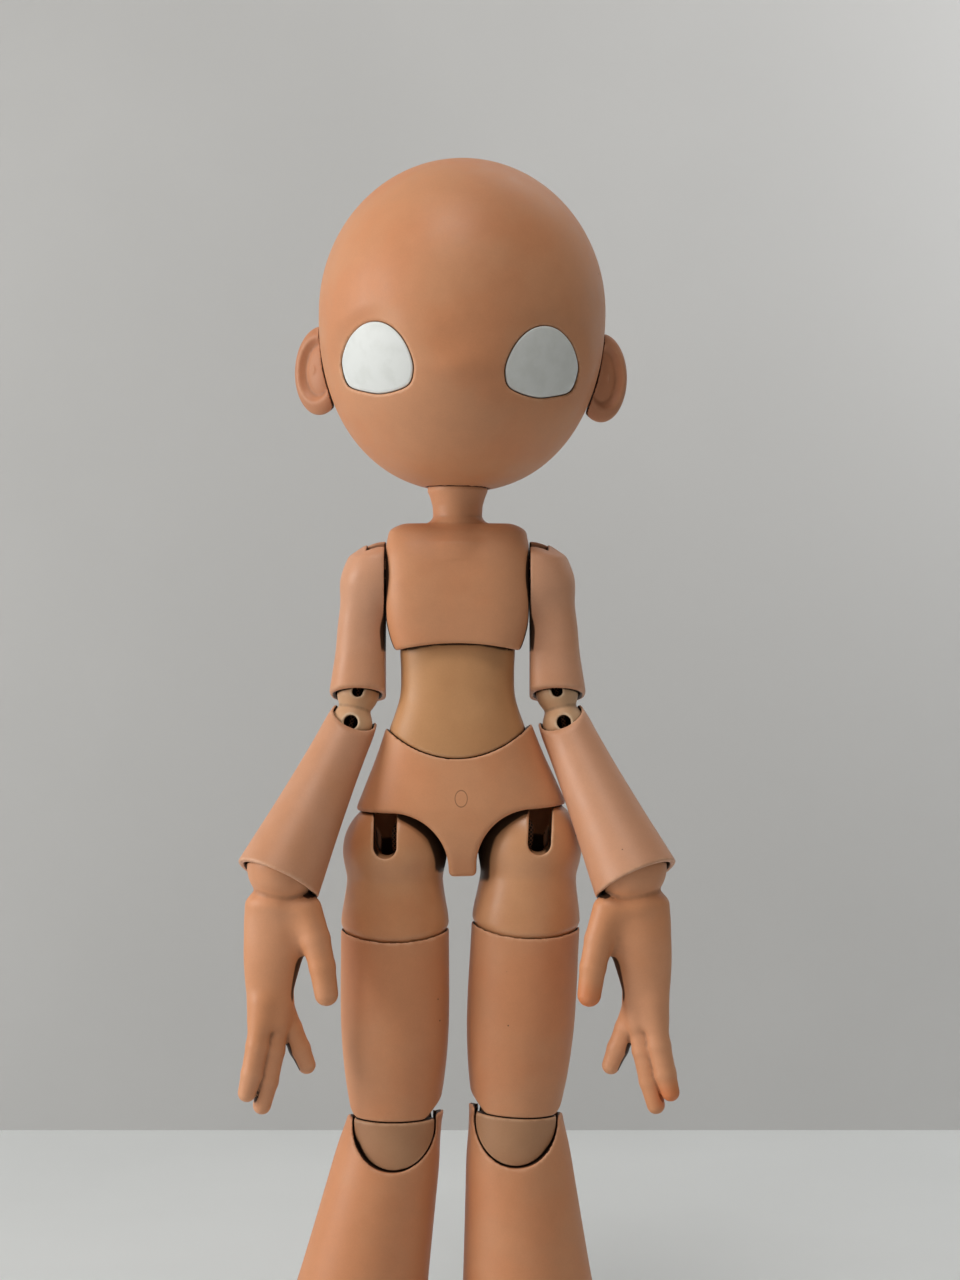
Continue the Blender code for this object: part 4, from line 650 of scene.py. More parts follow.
def chest(points):
    q = seen_from("chest", points)
    body = both(loft(q, CHEST_ROWS, CHEST_POWER, SOFT_RIM), np.abs(q[:, 0]) - CHEST_HALF_WIDTH, 0.0005)
    up = q - (0, 0, NECK_RISE)
    neck = np.where(up[:, 2] > 0, np.linalg.norm(up, axis=1) - NECK_BALL,
                    turned_profile(up, NECK_PROFILE[::-1]))
    neck = np.maximum(neck, NECK_PROFILE[-1][1] - up[:, 2])
    body = either(body, neck, 0.0030)
    for side in SIDES.values():
        centre = (side * (CHEST_HALF_WIDTH - SHOULDER_BALL_INSET + ARM_PLANE_GAP), 0, SHOULDER_RISE)
        body = without(body, ball(q, SHOULDER_BALL + BALL_GAP, centre))
    body = without(body,
                   drum(q, ARM_BORE, (-CHEST_HALF_WIDTH, 0, SHOULDER_RISE),
                        (CHEST_HALF_WIDTH, 0, SHOULDER_RISE)))
    body = without(body, drum(q, NECK_BORE, (0, 0, 0), (0, 0, FAR)))
    arch_centre = CHEST_ARCH_RISE - CHEST_ARCH_RADIUS
    body = without(body, drum(q, CHEST_ARCH_RADIUS, (0, -FAR, arch_centre), (0, FAR, arch_centre)), 0.0012)
    half = WAIST_HALF_WIDTH + BALL_GAP
    shares = np.array(WAIST_SOCKET_SHARES)
    wide = (WAIST_KNUCKLE + BALL_GAP) * np.interp(np.abs(q[:, 0]) / half, shares[:, 0], shares[:, 1])
    socket = np.maximum(np.hypot(q[:, 1], q[:, 2]) - wide, np.abs(q[:, 0]) - half)
    return without(body, socket, FINE_RIM)


def waist_rows():
    """The flared body's rows, and the knuckle's across the top, whose depth is that of a circle."""
    body = eased([
        (share * WAIST_FLARE_DROP, 0, width * WAIST_HALF_WIDTH, deep * WAIST_KNUCKLE, deep * WAIST_KNUCKLE)
        for share, width, deep in WAIST_SHARES
    ])
    share = np.linspace(0.03, 0.98, 40)
    given = np.array(((0, 1.0),) + WAIST_TOP_SHARES)
    width = np.interp(share, given[:, 0], given[:, 1]) * WAIST_HALF_WIDTH
    deep = WAIST_KNUCKLE * np.sqrt(1 - share * share)
    top = np.stack([WAIST_TOP + share * WAIST_KNUCKLE, share * 0, width, deep, deep], axis=1)
    return np.concatenate([body, top])


WAIST_ROWS = waist_rows()


def waist(points):
    q = seen_from("waist", points)
    body = both(loft(q, WAIST_ROWS, WAIST_POWER), bullet(q, WAIST_BALL), FINE_RIM)
    return without(body, drum(q, WAIST_BORE, (0, 0, -FAR), (0, 0, FAR)))


PELVIS_ROWS = eased([
    (share * (PELVIS_TOP + PELVIS_DROP) - PELVIS_DROP, 0, width * PELVIS_HALF_WIDTH, front * PELVIS_FRONT,
     back * PELVIS_BACK) for share, width, front, back in PELVIS_SHARES
])


def pelvis(points):
    q = seen_from("pelvis", points)
    body = loft(q, PELVIS_ROWS, PELVIS_POWER, SOFT_RIM)
    body = without(body, bullet(seen_from("waist", points), WAIST_BALL + BALL_GAP))
    low = -LEG_OPENING_DROP
    for side in SIDES.values():
        centre = side * HIP_SPREAD
        x = q[:, 0] * side
        arch = np.hypot(x - LEG_OPENING_SPREAD, q[:, 2] - low) - LEG_OPENING
        beside = np.maximum(LEG_OPENING_SPREAD - x, q[:, 2] - low - LEG_OPENING)
        below = np.maximum(LEG_OPENING_SPREAD - LEG_OPENING - x, q[:, 2] - low)
        body = without(body, np.minimum(arch, np.minimum(beside, below)), 0.0018)
        body = without(body, ball(q, HIP_BALL + BALL_GAP, (centre, 0, 0)))
        body = without(body,
                       drum(q, STRING_BORE, (0, 0, STRING_MEET),
                            (centre * STRING_SHARE, 0, STRING_DROP)), FINE_RIM)
    return body


UPPER_THIGH_ROWS = eased([
    (share * UPPER_THIGH_FOOT, 0, width * THIGH_HALF_WIDTH, deep * THIGH_DEPTH, deep * THIGH_DEPTH)
    for share, width, deep in UPPER_THIGH_SHARES
])


def upper_thigh(points, name, side):
    q = seen_from(f"hip_{name}", points)
    part = either(loft(q, UPPER_THIGH_ROWS), ball(q, HIP_BALL), 0.0012)
    part = both(part, bullet(seen_from(f"thigh_{name}", points), THIGH_BALL), FINE_RIM)
    part = without(part, drum(q, THIGH_BORE, (0, 0, -FAR), (0, 0, FAR)))
    part = without(part, drum(q, THIGH_BORE / 2, (0, 0, 0), (0, 0, HIP_BALL), HIP_FUNNEL))
    return without(part,
                   stadium(q, HIP_SLOT, -HIP_SLOT_FLOOR, -FAR, THIGH_BORE / 4, side * HIP_SLOT_OUT), 0.0006)


THIGH_FOOT = THIGH_BALL_DROP - KNEE_DROP - THIGH_RIM
THIGH_HEAD = -THIGH_BALL / 6
THIGH_ROWS = eased([
    (THIGH_FOOT + share * (THIGH_HEAD - THIGH_FOOT), 0, width * THIGH_HALF_WIDTH, deep * THIGH_DEPTH,
     deep * THIGH_DEPTH)
    for share, width, deep in THIGH_SHARES
])


def thigh(points, name, side):
    q = seen_from(f"thigh_{name}", points)
    k = seen_from(f"knee_{name}", points)
    part = without(loft(q, THIGH_ROWS, soft=RIM), bullet(q, THIGH_BALL + BALL_GAP), RIM)
    part = without(part, drum(q, THIGH_BORE, (0, 0, -FAR), (0, 0, 0)))
    part = without(part, ball(k, KNEE_BALL + BALL_GAP))
    part = without(part, ball(k, KNEE_BALL + BALL_GAP, (0, 0, -KNEE_SPAN)))
    slope = math.atan2(THIGH_RIM + KNEE_BACK_CUT, KNEE_BALL)
    back = (k[:, 1] + KNEE_BALL / 3) * math.sin(slope) - (k[:, 2] + THIGH_RIM) * math.cos(slope)
    part = both(part, back, RIM)
    start = np.where(k[:, 0] * side < 0, THIGH_CHAMFER_IN, THIGH_CHAMFER_OUT)
    corner = (np.abs(k[:, 0]) - start - k[:, 2] - THIGH_RIM) * math.sqrt(0.5)
    return both(part, corner, RIM)


def kneecap_column(k, radius):
    """A U in the front view: |x| or, below the lower knuckle's centre, the distance from it, less the
    radius."""
    drop = np.minimum(k[:, 2] + KNEE_SPAN, 0)
    return np.hypot(k[:, 0], drop) - radius


def knee(points, name, side):
    k = seen_from(f"knee_{name}", points)
    part = either(ball(k, KNEE_BALL), ball(k, KNEE_BALL, (0, 0, -KNEE_SPAN)), RIM)
    round_front = np.hypot(k[:, 0] / KNEECAP_WIDTH, k[:, 1] / KNEECAP_FRONT)
    away = np.hypot(k[:, 0], k[:, 1])
    cap = both(away - away / np.maximum(round_front, 1e-6), kneecap_column(k, KNEECAP_RADIUS), FINE_RIM)
    cap = both(cap, k[:, 2] + THIGH_RIM + GAP, 0.0008)
    cap = both(cap, k[:, 1] + KNEECAP_INNER, FINE_RIM)
    return without(either(part, cap, FINE_RIM), drum(k, LEG_BORE, (0, 0, -FAR), (0, 0, FAR)))


SHIN_FOOT = -SHIN_LENGTH - SHIN_RIM_DROP
SHIN_ROWS = eased([
    (SHIN_FOOT + share * (SHIN_EAR - SHIN_FOOT), 0, wide, wide * SHIN_DEPTH_SHARE, wide * SHIN_DEPTH_SHARE)
    for share, wide in ((s, SHIN_TOP_WIDTH + w * (SHIN_FOOT_WIDTH - SHIN_TOP_WIDTH)) for s, w in SHIN_SHARES)
])
SHIN_ROWS = np.concatenate([SHIN_ROWS, SHIN_ROWS[-1:] + (SHIN_OVERRUN, 0, 0, 0, 0)])


def seat(q, bore, radius, centre, mouth):
    """A bore down to a ball's seat, and a mouth whose (radius, height) profile lies below the seat's
    widest."""
    upper = np.maximum(np.hypot(q[:, 0], q[:, 1]) - bore, centre - q[:, 2])
    open_below = turned_profile(q, mouth[::-1])
    below = np.where(q[:, 2] < mouth[0][1], open_below, FAR)
    return np.minimum(np.minimum(upper, ball(q, radius, (0, 0, centre))), below)


def shin(points, name, side):
    q = seen_from(f"shin_{name}", points)
    k = seen_from(f"knee_{name}", points)
    part = loft(q, SHIN_ROWS, soft=RIM)
    part = without(part, ball(k, KNEE_BALL + BALL_GAP, (0, 0, -KNEE_SPAN)))
    cap_seat = np.maximum(kneecap_column(k, KNEECAP_RADIUS + BALL_GAP), k[:, 1] + KNEECAP_SEAT)
    part = without(part, cap_seat, FINE_RIM)
    slope = -math.atan2(KNEE_BACK_CUT + SHIN_EAR, KNEE_BALL)
    level = SHIN_EAR - KNEE_SPAN
    pivot = (0, 0, level - GAP)
    part = without(part,
                   block(k, (-FAR, 0, level - GAP), (FAR, FAR, FAR), turn("X", math.degrees(slope)), pivot))
    over = block(k, (-FAR, -FAR, level), (FAR, FAR, FAR), turn("Y", side * SHIN_EAR_SLOPE), (0, 0, level))
    part = without(part, over)
    wide = ANKLE_BALL + BALL_GAP
    mouth = [(wide, -SHIN_LENGTH - BELL_START), (2 * BELL_MOUTH - ANKLE_BALL, SHIN_FOOT - SHIN_RIM_DROP)]
    return without(part, seat(q, LEG_BORE, wide, -SHIN_LENGTH, mouth))


FOOT_ROWS = eased([
    (share * ANKLE_HEIGHT - ANKLE_HEIGHT, 0, width * FOOT_HALF_WIDTH, front * FOOT_FRONT, back * FOOT_BACK)
    for share, width, front, back in FOOT_SHARES
])


def hook_room(part, points, hook, axis, radius, reach):
    """Cuts the room of a hook's cross bar at a ball's centre, and the slot in which its stem swings."""
    q = seen_from(hook, points)
    half = LIMB_BAR_HALF + GAP
    low, high = sorted(share * radius for share in reach)
    if axis == "X":
        bar = drum(q, HOOK_BAR + GAP, (-half, 0, 0), (half, 0, 0))
        slot = block(q, (-STEM_SLOT, low, 0), (STEM_SLOT, high, FAR))
    else:
        bar = drum(q, HOOK_BAR + GAP, (0, -half, 0), (0, half, 0))
        slot = block(q, (low, -STEM_SLOT, 0), (high, STEM_SLOT, FAR))
    return without(part, np.minimum(bar, slot), FINE_RIM)


def foot(points, name, side):
    q = seen_from(f"foot_{name}", points)
    part = either(loft(q, FOOT_ROWS, 2.3, SOFT_RIM), ball(q, ANKLE_BALL), 0.0014)
    return hook_room(part, points, f"ankle_hook_{name}", "X", ANKLE_BALL, ANKLE_SLOT_SHARES)


ARM_FOOT = -ELBOW_DROP - ARM_RIM


def arm_rows(side):
    rows = []
    for share, out, deep in ARM_SHARES:
        outer = out * ARM_WIDTH
        height = ARM_FOOT + share * (ARM_TOP - ARM_FOOT)
        rows.append((height, side * (outer - ARM_INNER) / 2, (outer + ARM_INNER) / 2, deep * ARM_DEPTH,
                     deep * ARM_DEPTH))
    return eased(rows)


ARM_ROWS = {name: arm_rows(side) for name, side in SIDES.items()}


def upper_arm(points, name, side):
    q = seen_from(f"arm_{name}", points)
    e = seen_from(f"elbow_{name}", points)
    part = either(loft(q, ARM_ROWS[name], 2.4, 0.0025), ball(q, SHOULDER_DOME), 0.0060)
    part = both(part, -side * q[:, 0], 0.0005)
    part = either(part, ball(q, SHOULDER_BALL, (-side * SHOULDER_BALL_INSET, 0, 0)), FINE_RIM)
    out = side * ELBOW_OUT_SHARE * ARM_WIDTH
    part = without(part, drum(q, ARM_STRING_BORE, (-side * FAR, 0, 0), (out, 0, 0)))
    part = without(part, drum(q, ARM_DOWN_BORE, (out, 0, ARM_DOWN_BORE / 3), (out, 0, -ELBOW_DROP)))
    xs = sorted((-side * FAR, side * SHOULDER_SLOT_REACH))
    part = without(part,
                   block(q, (xs[0], -SHOULDER_SLOT_FRONT, -SHOULDER_SLOT_FLOOR),
                         (xs[1], SHOULDER_SLOT_BACK, FAR)))
    part = without(part, ball(e, ELBOW_BALL + BALL_GAP), 0.0006)
    slope = math.radians(ARM_RIM_SLOPE)
    level = -ELBOW_DROP - ARM_RIM_CUT
    rim = -q[:, 1] * math.sin(slope) - (q[:, 2] - level) * math.cos(slope)
    return both(part, rim, 0.0012)


def elbow(points, name, side):
    q = seen_from(f"elbow_{name}", points)
    part = either(ball(q, ELBOW_BALL), ball(q, ELBOW_BALL, (0, 0, -ELBOW_SPAN)), RIM)
    part = either(part, drum(q, ELBOW_LINK, (0, 0, -ELBOW_SPAN), (0, 0, 0)), 0.0012)
    part = without(part, drum(q, ELBOW_BORE, (0, 0, -FAR), (0, 0, FAR)), FINE_RIM)
    part = without(part, stadium(q, ELBOW_SLOT, -ELBOW_SLOT, -FAR, ELBOW_BORE / 4))
    return without(part, drum(q, ELBOW_HOLE, (0, -FAR, -ELBOW_SPAN), (0, ELBOW_BORE / 4, -ELBOW_SPAN)))


FOREARM_FOOT = -FOREARM_LENGTH - FOREARM_RIM_DROP
FOREARM_ROWS = eased([
    (FOREARM_FOOT + share * (FOREARM_TOP - FOREARM_FOOT), 0, wide, wide * FOREARM_DEPTH_SHARE,
     wide * FOREARM_DEPTH_SHARE)
    for share,
    wide in ((s, FOREARM_TOP_WIDTH + w * (FOREARM_CUFF_WIDTH - FOREARM_TOP_WIDTH)) for s,
             w in FOREARM_SHARES)
])


def forearm(points, name, side):
    q = seen_from(f"forearm_{name}", points)
    part = loft(q, FOREARM_ROWS, soft=0.0008)
    level = FOREARM_RIM_SIDE
    slant = turn("X", FOREARM_RIM_SLOPE)
    part = without(part, block(q, (-FAR, -FAR, level), (FAR, FAR, FAR), slant, (0, 0, level)), 0.0010)
    part = without(part, ball(q, ELBOW_BALL + BALL_GAP))
    mouth = [(WRIST_BALL + BALL_GAP, -FOREARM_LENGTH), (WRIST_BALL, FOREARM_FOOT - FOREARM_RIM_DROP)]
    return without(part, seat(q, FOREARM_BORE, WRIST_BALL + BALL_GAP, -FOREARM_LENGTH, mouth), 0.0008)


def palm_rows(side):
    return eased([
        (share * HAND_LENGTH, -side * shift * HAND_BREADTH, width * HAND_BREADTH, deep * PALM_THICK,
         deep * PALM_THICK)
        for share, shift, width, deep in PALM_SHARES
    ])


PALM_ROWS = {name: palm_rows(side) for name, side in SIDES.items()}


def hand(points, name, side):
    q = seen_from(f"hand_{name}", points)
    mirrored = q * (side, 1, 1)
    palm = loft(q, PALM_ROWS[name], soft=0.0020)
    fingers = None
    for path in FINGERS.values():
        finger = digit(mirrored, path, FINGER_RADIUS, FINGER_TAPER_SHARES)
        fingers = finger if fingers is None else either(fingers, finger, 0.0010)
    part = either(palm, fingers, 0.0030)
    part = either(part, digit(mirrored, THUMB, THUMB_RADIUS, THUMB_TAPER_SHARES), 0.0040)
    part = either(part, ball(q, WRIST_BALL), 0.0010)
    swing = [side * share for share in WRIST_SLOT_SHARES]
    return hook_room(part, points, f"wrist_hook_{name}", "Y", WRIST_BALL, swing)


stand()


# From a field to a mesh


def lattice(low, high, cell, fine=None, ranges=()):
    """Lattice lines along one axis: cell apart, or fine apart within the ranges."""
    at = np.linspace(low - 2 * cell, high + 2 * cell, 4000)
    density = np.full(len(at), 1 / cell)
    for start, end in ranges:
        density[(at > start) & (at < end)] = 1 / fine
    passed = np.concatenate([[0], np.cumsum(density[:-1] * np.diff(at))])
    count = 4 * math.ceil(passed[-1] / 4)
    return np.interp(np.linspace(0, passed[-1], count + 1), passed, at)


def evaluated(field, points, most=300000):
    return np.concatenate([field(points[i:i + most]) for i in range(0, len(points), most)])


def sampled(field, lines):
    """The field on the lattice: every fourth line first, then each block of 4 x 4 x 4 cells near the
    surface."""
    coarse = [axis[::4] for axis in lines]
    shape = [len(axis) for axis in coarse]
    points = np.stack(np.meshgrid(*coarse, indexing="ij"), axis=-1).reshape(-1, 3)
    rough = evaluated(field, points).reshape(shape)
    near = np.abs(rough)
    for axis in range(3):
        near = np.minimum(np.take(near, range(shape[axis] - 1), axis),
                          np.take(near, range(1, shape[axis]), axis))
        shape[axis] -= 1
    span = max(np.diff(axis).max() for axis in coarse)
    blocks = near < span * 1.25
    wanted = np.zeros([len(axis) for axis in lines], bool)
    for shift in np.ndindex(2, 2, 2):
        spread = blocks
        for axis in range(3):
            spread = np.repeat(spread, 4, axis)
        i, j, k = shift
        a, b, c = spread.shape
        wanted[i:a + i, j:b + j, k:c + k] |= spread
    fine = rough
    for axis in range(3):
        fine = np.repeat(fine, 4, axis)
    fine = fine[:wanted.shape[0], :wanted.shape[1], :wanted.shape[2]].copy()
    at = np.nonzero(wanted)
    fine[at] = evaluated(field, np.stack([lines[i][at[i]] for i in range(3)], axis=1))
    return fine


def level_net(values, lines):
    """One vertex in each cell that the level crosses, at the mean of its edges' crossings, and a quad
    across each crossed edge, turned to face away from the resin."""
    inside = values < 0
    cells = np.array(values.shape) - 1
    strides = np.array([cells[1] * cells[2], cells[2], 1])
    owners, spots, corners = [], [], []
    for axis in range(3):
        low = [slice(None)] * 3
        high = [slice(None)] * 3
        low[axis] = slice(None, -1)
        high[axis] = slice(1, None)
        at = np.stack(np.nonzero(inside[tuple(low)] != inside[tuple(high)]), axis=1)
        step = np.zeros(3, int)
        step[axis] = 1
        others = [(axis + 1) % 3, (axis + 2) % 3]
        at = at[((at[:, others] > 0) & (at[:, others] < cells[others])).all(axis=1)]
        first = values[tuple(at.T)]
        second = values[tuple((at + step).T)]
        share = first / (first - second)
        spot = np.stack([lines[i][at[:, i]] for i in range(3)], axis=1)
        spot[:, axis] += share * (lines[axis][at[:, axis] + 1] - lines[axis][at[:, axis]])
        quad = []
        for back, over in ((1, 1), (0, 1), (0, 0), (1, 0)):
            cell = at.copy()
            cell[:, others[0]] -= back
            cell[:, others[1]] -= over
            quad.append(cell @ strides)
        quad = np.stack(quad, axis=1)
        quad[first > 0] = quad[first > 0][:, ::-1]
        corners.append(quad)
        owners.append(quad.reshape(-1))
        spots.append(np.repeat(spot, 4, axis=0))
    owners = np.concatenate(owners)
    spots = np.concatenate(spots)
    index = np.unique(owners, return_inverse=True)[1]
    count = np.bincount(index)
    points = np.stack([np.bincount(index, spots[:, i]) / count for i in range(3)], axis=1)
    return points, index.reshape(-1, 4)


def slope_of(field, points, here, step=0.00004):
    """The field's slope, from its value a small step along each axis."""
    return np.stack([evaluated(field, points + step * way) - here for way in np.eye(3)], axis=1) / step


def settled(field, points, reach, rounds=3):
    """Moves each point down the slope to the level: p - f s / |s|^2, never further than reach in a round."""
    for _ in range(rounds):
        here = evaluated(field, points)
        slope = slope_of(field, points, here)
        move = -slope * (here / np.maximum((slope * slope).sum(axis=1), 1e-3))[:, None]
        far = np.linalg.norm(move, axis=1)
        points = points + move * np.minimum(1, reach / np.maximum(far, 1e-12))[:, None]
    here = evaluated(field, points)
    slope = slope_of(field, points, here)
    return points, slope / np.maximum(np.linalg.norm(slope, axis=1), 1e-6)[:, None]


def rounding(points, quads, normals):
    """How sharply the surface turns, in 1/m: above zero on a rim and below zero in a corner.

    It is four times the height of a vertex over the mean of its neighbours, by the square of their distance.
    """
    ends = np.concatenate([quads[:, [0, 1]], quads[:, [1, 2]], quads[:, [2, 3]], quads[:, [3, 0]]])
    ends = np.concatenate([ends, ends[:, ::-1]])
    total = len(points)
    count = np.maximum(np.bincount(ends[:, 0], minlength=total), 1)
    gap = points[ends[:, 1]] - points[ends[:, 0]]
    mean = np.stack([np.bincount(ends[:, 0], gap[:, i], total) / count for i in range(3)], axis=1)
    square = np.bincount(ends[:, 0], (gap * gap).sum(axis=1), total) / count
    bend = -4 * (mean * normals).sum(axis=1) / np.maximum(square, 1e-12)
    for _ in range(3):
        bend = (bend + np.bincount(ends[:, 0], bend[ends[:, 1]], total) / count) / 2
    return bend


def openness(field, near, points, normals):
    """How open the air over each point is: the room at three heights along its normal, each as a share
    of half the height, and the least of the three. One less this is the mark for painted shade."""
    share = np.ones(len(points))
    for height in OPEN_HEIGHTS:
        spots = points + height * normals
        room = evaluated(field, spots)
        for other in near:
            room = np.minimum(room, evaluated(other, spots))
        share = np.minimum(share, np.clip(2 * room / height, 0, 1))
    return share


def placed(name, mesh, finish):
    """The mesh as an object at the origin, in its finish."""
    mesh.materials.append(finish)
    made = bpy.data.objects.new(name, mesh)
    bpy.context.scene.collection.objects.link(made)
    return made


def mesh_piece(name, points, faces, finish, marks):
    """A mesh object at the origin from whole arrays, shaded smooth, with its marks as attributes."""
    mesh = bpy.data.meshes.new(name)
    width = faces.shape[1]
    mesh.vertices.add(len(points))
    mesh.vertices.foreach_set("co", np.ascontiguousarray(points, np.float32).reshape(-1))
    mesh.loops.add(faces.size)
    mesh.loops.foreach_set("vertex_index", np.ascontiguousarray(faces, np.int32).reshape(-1))
    mesh.polygons.add(len(faces))
    mesh.polygons.foreach_set("loop_start", np.arange(0, faces.size, width, dtype=np.int32))
    mesh.polygons.foreach_set("use_smooth", np.ones(len(faces), bool))
    mesh.update(calc_edges=True)
    for mark, values in marks.items():
        attribute = mesh.attributes.new(mark, "FLOAT", "POINT")
        attribute.data.foreach_set("value", values.astype(np.float32))
    return placed(name, mesh, finish)


def skinned(node, body, field, cell, finish, near=(), lines=None):
    """A casting's mesh: the level's net, settled on the level, with its rims, corners and seams as marks,
    and how enclosed it is as a mark for painted shade.
    """
    low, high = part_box(node)
    if lines is None:
        lines = [lattice(low[i], high[i], cell) for i in range(3)]
    points, quads = level_net(sampled(field, lines), lines)
    points, normals = settled(field, points, cell)
    bend = rounding(points, quads, normals)
    gap = np.full(len(points), FAR)
    for other in near:
        gap = np.minimum(gap, evaluated(other, points))
    marks = {
        "rim": np.clip((bend - RIM_BEND[0]) / RIM_BEND[1], 0, 1),
        "corner": np.clip((-bend - CORNER_BEND[0]) / CORNER_BEND[1], 0, 1),
        "seam": np.exp(-(np.maximum(gap, 0) / SEAM_REACH) ** 2),
        # deep: how enclosed a point is, painted as shade in bores, slots, sockets and gaps
        "deep": 1 - openness(field, near, points, normals),
    }
    piece = mesh_piece(f"{node}_casting", points, quads, finish, marks)
    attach(piece, body)
    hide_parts(node)


def grid_quads(rows, columns, closed_rows=False, closed_columns=True):
    """Quads over a grid of rows x columns vertices, numbered row by row."""
    row = np.arange(rows if closed_rows else rows - 1)
    column = np.arange(columns if closed_columns else columns - 1)
    r, c = (x.reshape(-1) for x in np.meshgrid(row, column, indexing="ij"))
    up = (r + 1) % rows
    over = (c + 1) % columns
    return np.stack([r * columns + c, r * columns + over, up * columns + over, up * columns + c], axis=1)


def capped(points, quads, rows, columns):
    """Closes a grid's first and last rows, each with a vertex at its mean and a fan of slim quads."""
    first = points[:columns].mean(axis=0)
    last = points[-columns:].mean(axis=0)
    total = len(points)
    c = np.arange(columns)
    over = (c + 1) % columns
    low = np.stack([over, c, np.full(columns, total), np.full(columns, total)], axis=1)
    start = (rows - 1) * columns
    high = np.stack([start + c, start + over, np.full(columns, total + 1), np.full(columns, total + 1)],
                    axis=1)
    return np.concatenate([points, [first, last]]), quads, np.concatenate([low, high])[:, :3]


# Materials


def feed(tree, socket, value):
    """Gives a socket a value or another node's output."""
    if isinstance(value, bpy.types.NodeSocket):
        tree.links.new(value, socket)
    else:
        socket.default_value = value


def add(tree, kind, settings=None, **sockets):
    """A node with its settings; a socket takes a value or another node's output."""
    made = tree.nodes.new(kind)
    for key, value in (settings or {}).items():
        setattr(made, key, value)
    for key, value in sockets.items():
        numbered = key[0] == "i" and key[1:].isdigit()
        feed(tree, made.inputs[int(key[1:]) if numbered else key.replace("_", " ")], value)
    return made


def sums(tree, operation, *values):
    """One Math node; its output."""
    made = tree.nodes.new("ShaderNodeMath")
    made.operation = operation
    for socket, value in zip(made.inputs, values):
        feed(tree, socket, value)
    return made.outputs[0]


def faded(tree, value, low, high, start=0.0, end=1.0):
    """value carried from low..high to start..end along a smooth step."""
    made = add(tree, "ShaderNodeMapRange", {"interpolation_type": "SMOOTHSTEP"}, i0=value, i1=low,
               i2=high, i3=start, i4=end)
    return made.outputs[0]


def mixed(tree, share, a, b, kind="MIX"):
    """Two colours mixed by a share."""
    made = tree.nodes.new("ShaderNodeMix")
    made.data_type = "RGBA"
    made.blend_type = kind
    for socket, value in ((made.inputs[0], share), (made.inputs[6], a), (made.inputs[7], b)):
        feed(tree, socket, value)
    return made.outputs[2]


def effect(name, inputs, outputs):
    """A shader node group with named sockets: (name, kind, value)."""
    tree = bpy.data.node_groups.new(name, "ShaderNodeTree")
    for label, kind, value in inputs:
        socket = tree.interface.new_socket(label, in_out="INPUT", socket_type=f"NodeSocket{kind}")
        if value is not None:
            socket.default_value = value
    for label, kind in outputs:
        tree.interface.new_socket(label, in_out="OUTPUT", socket_type=f"NodeSocket{kind}")
    return tree, tree.nodes.new("NodeGroupInput"), tree.nodes.new("NodeGroupOutput")


def linear(red, green, blue):
    """A display colour of 0 to 255 as the linear colour that renders as it."""
    shares = np.array([red, green, blue]) / 255
    values = np.where(shares > 0.04045, ((shares + 0.055) / 1.055) ** 2.4, shares / 12.92)
    return (*values, 1.0)


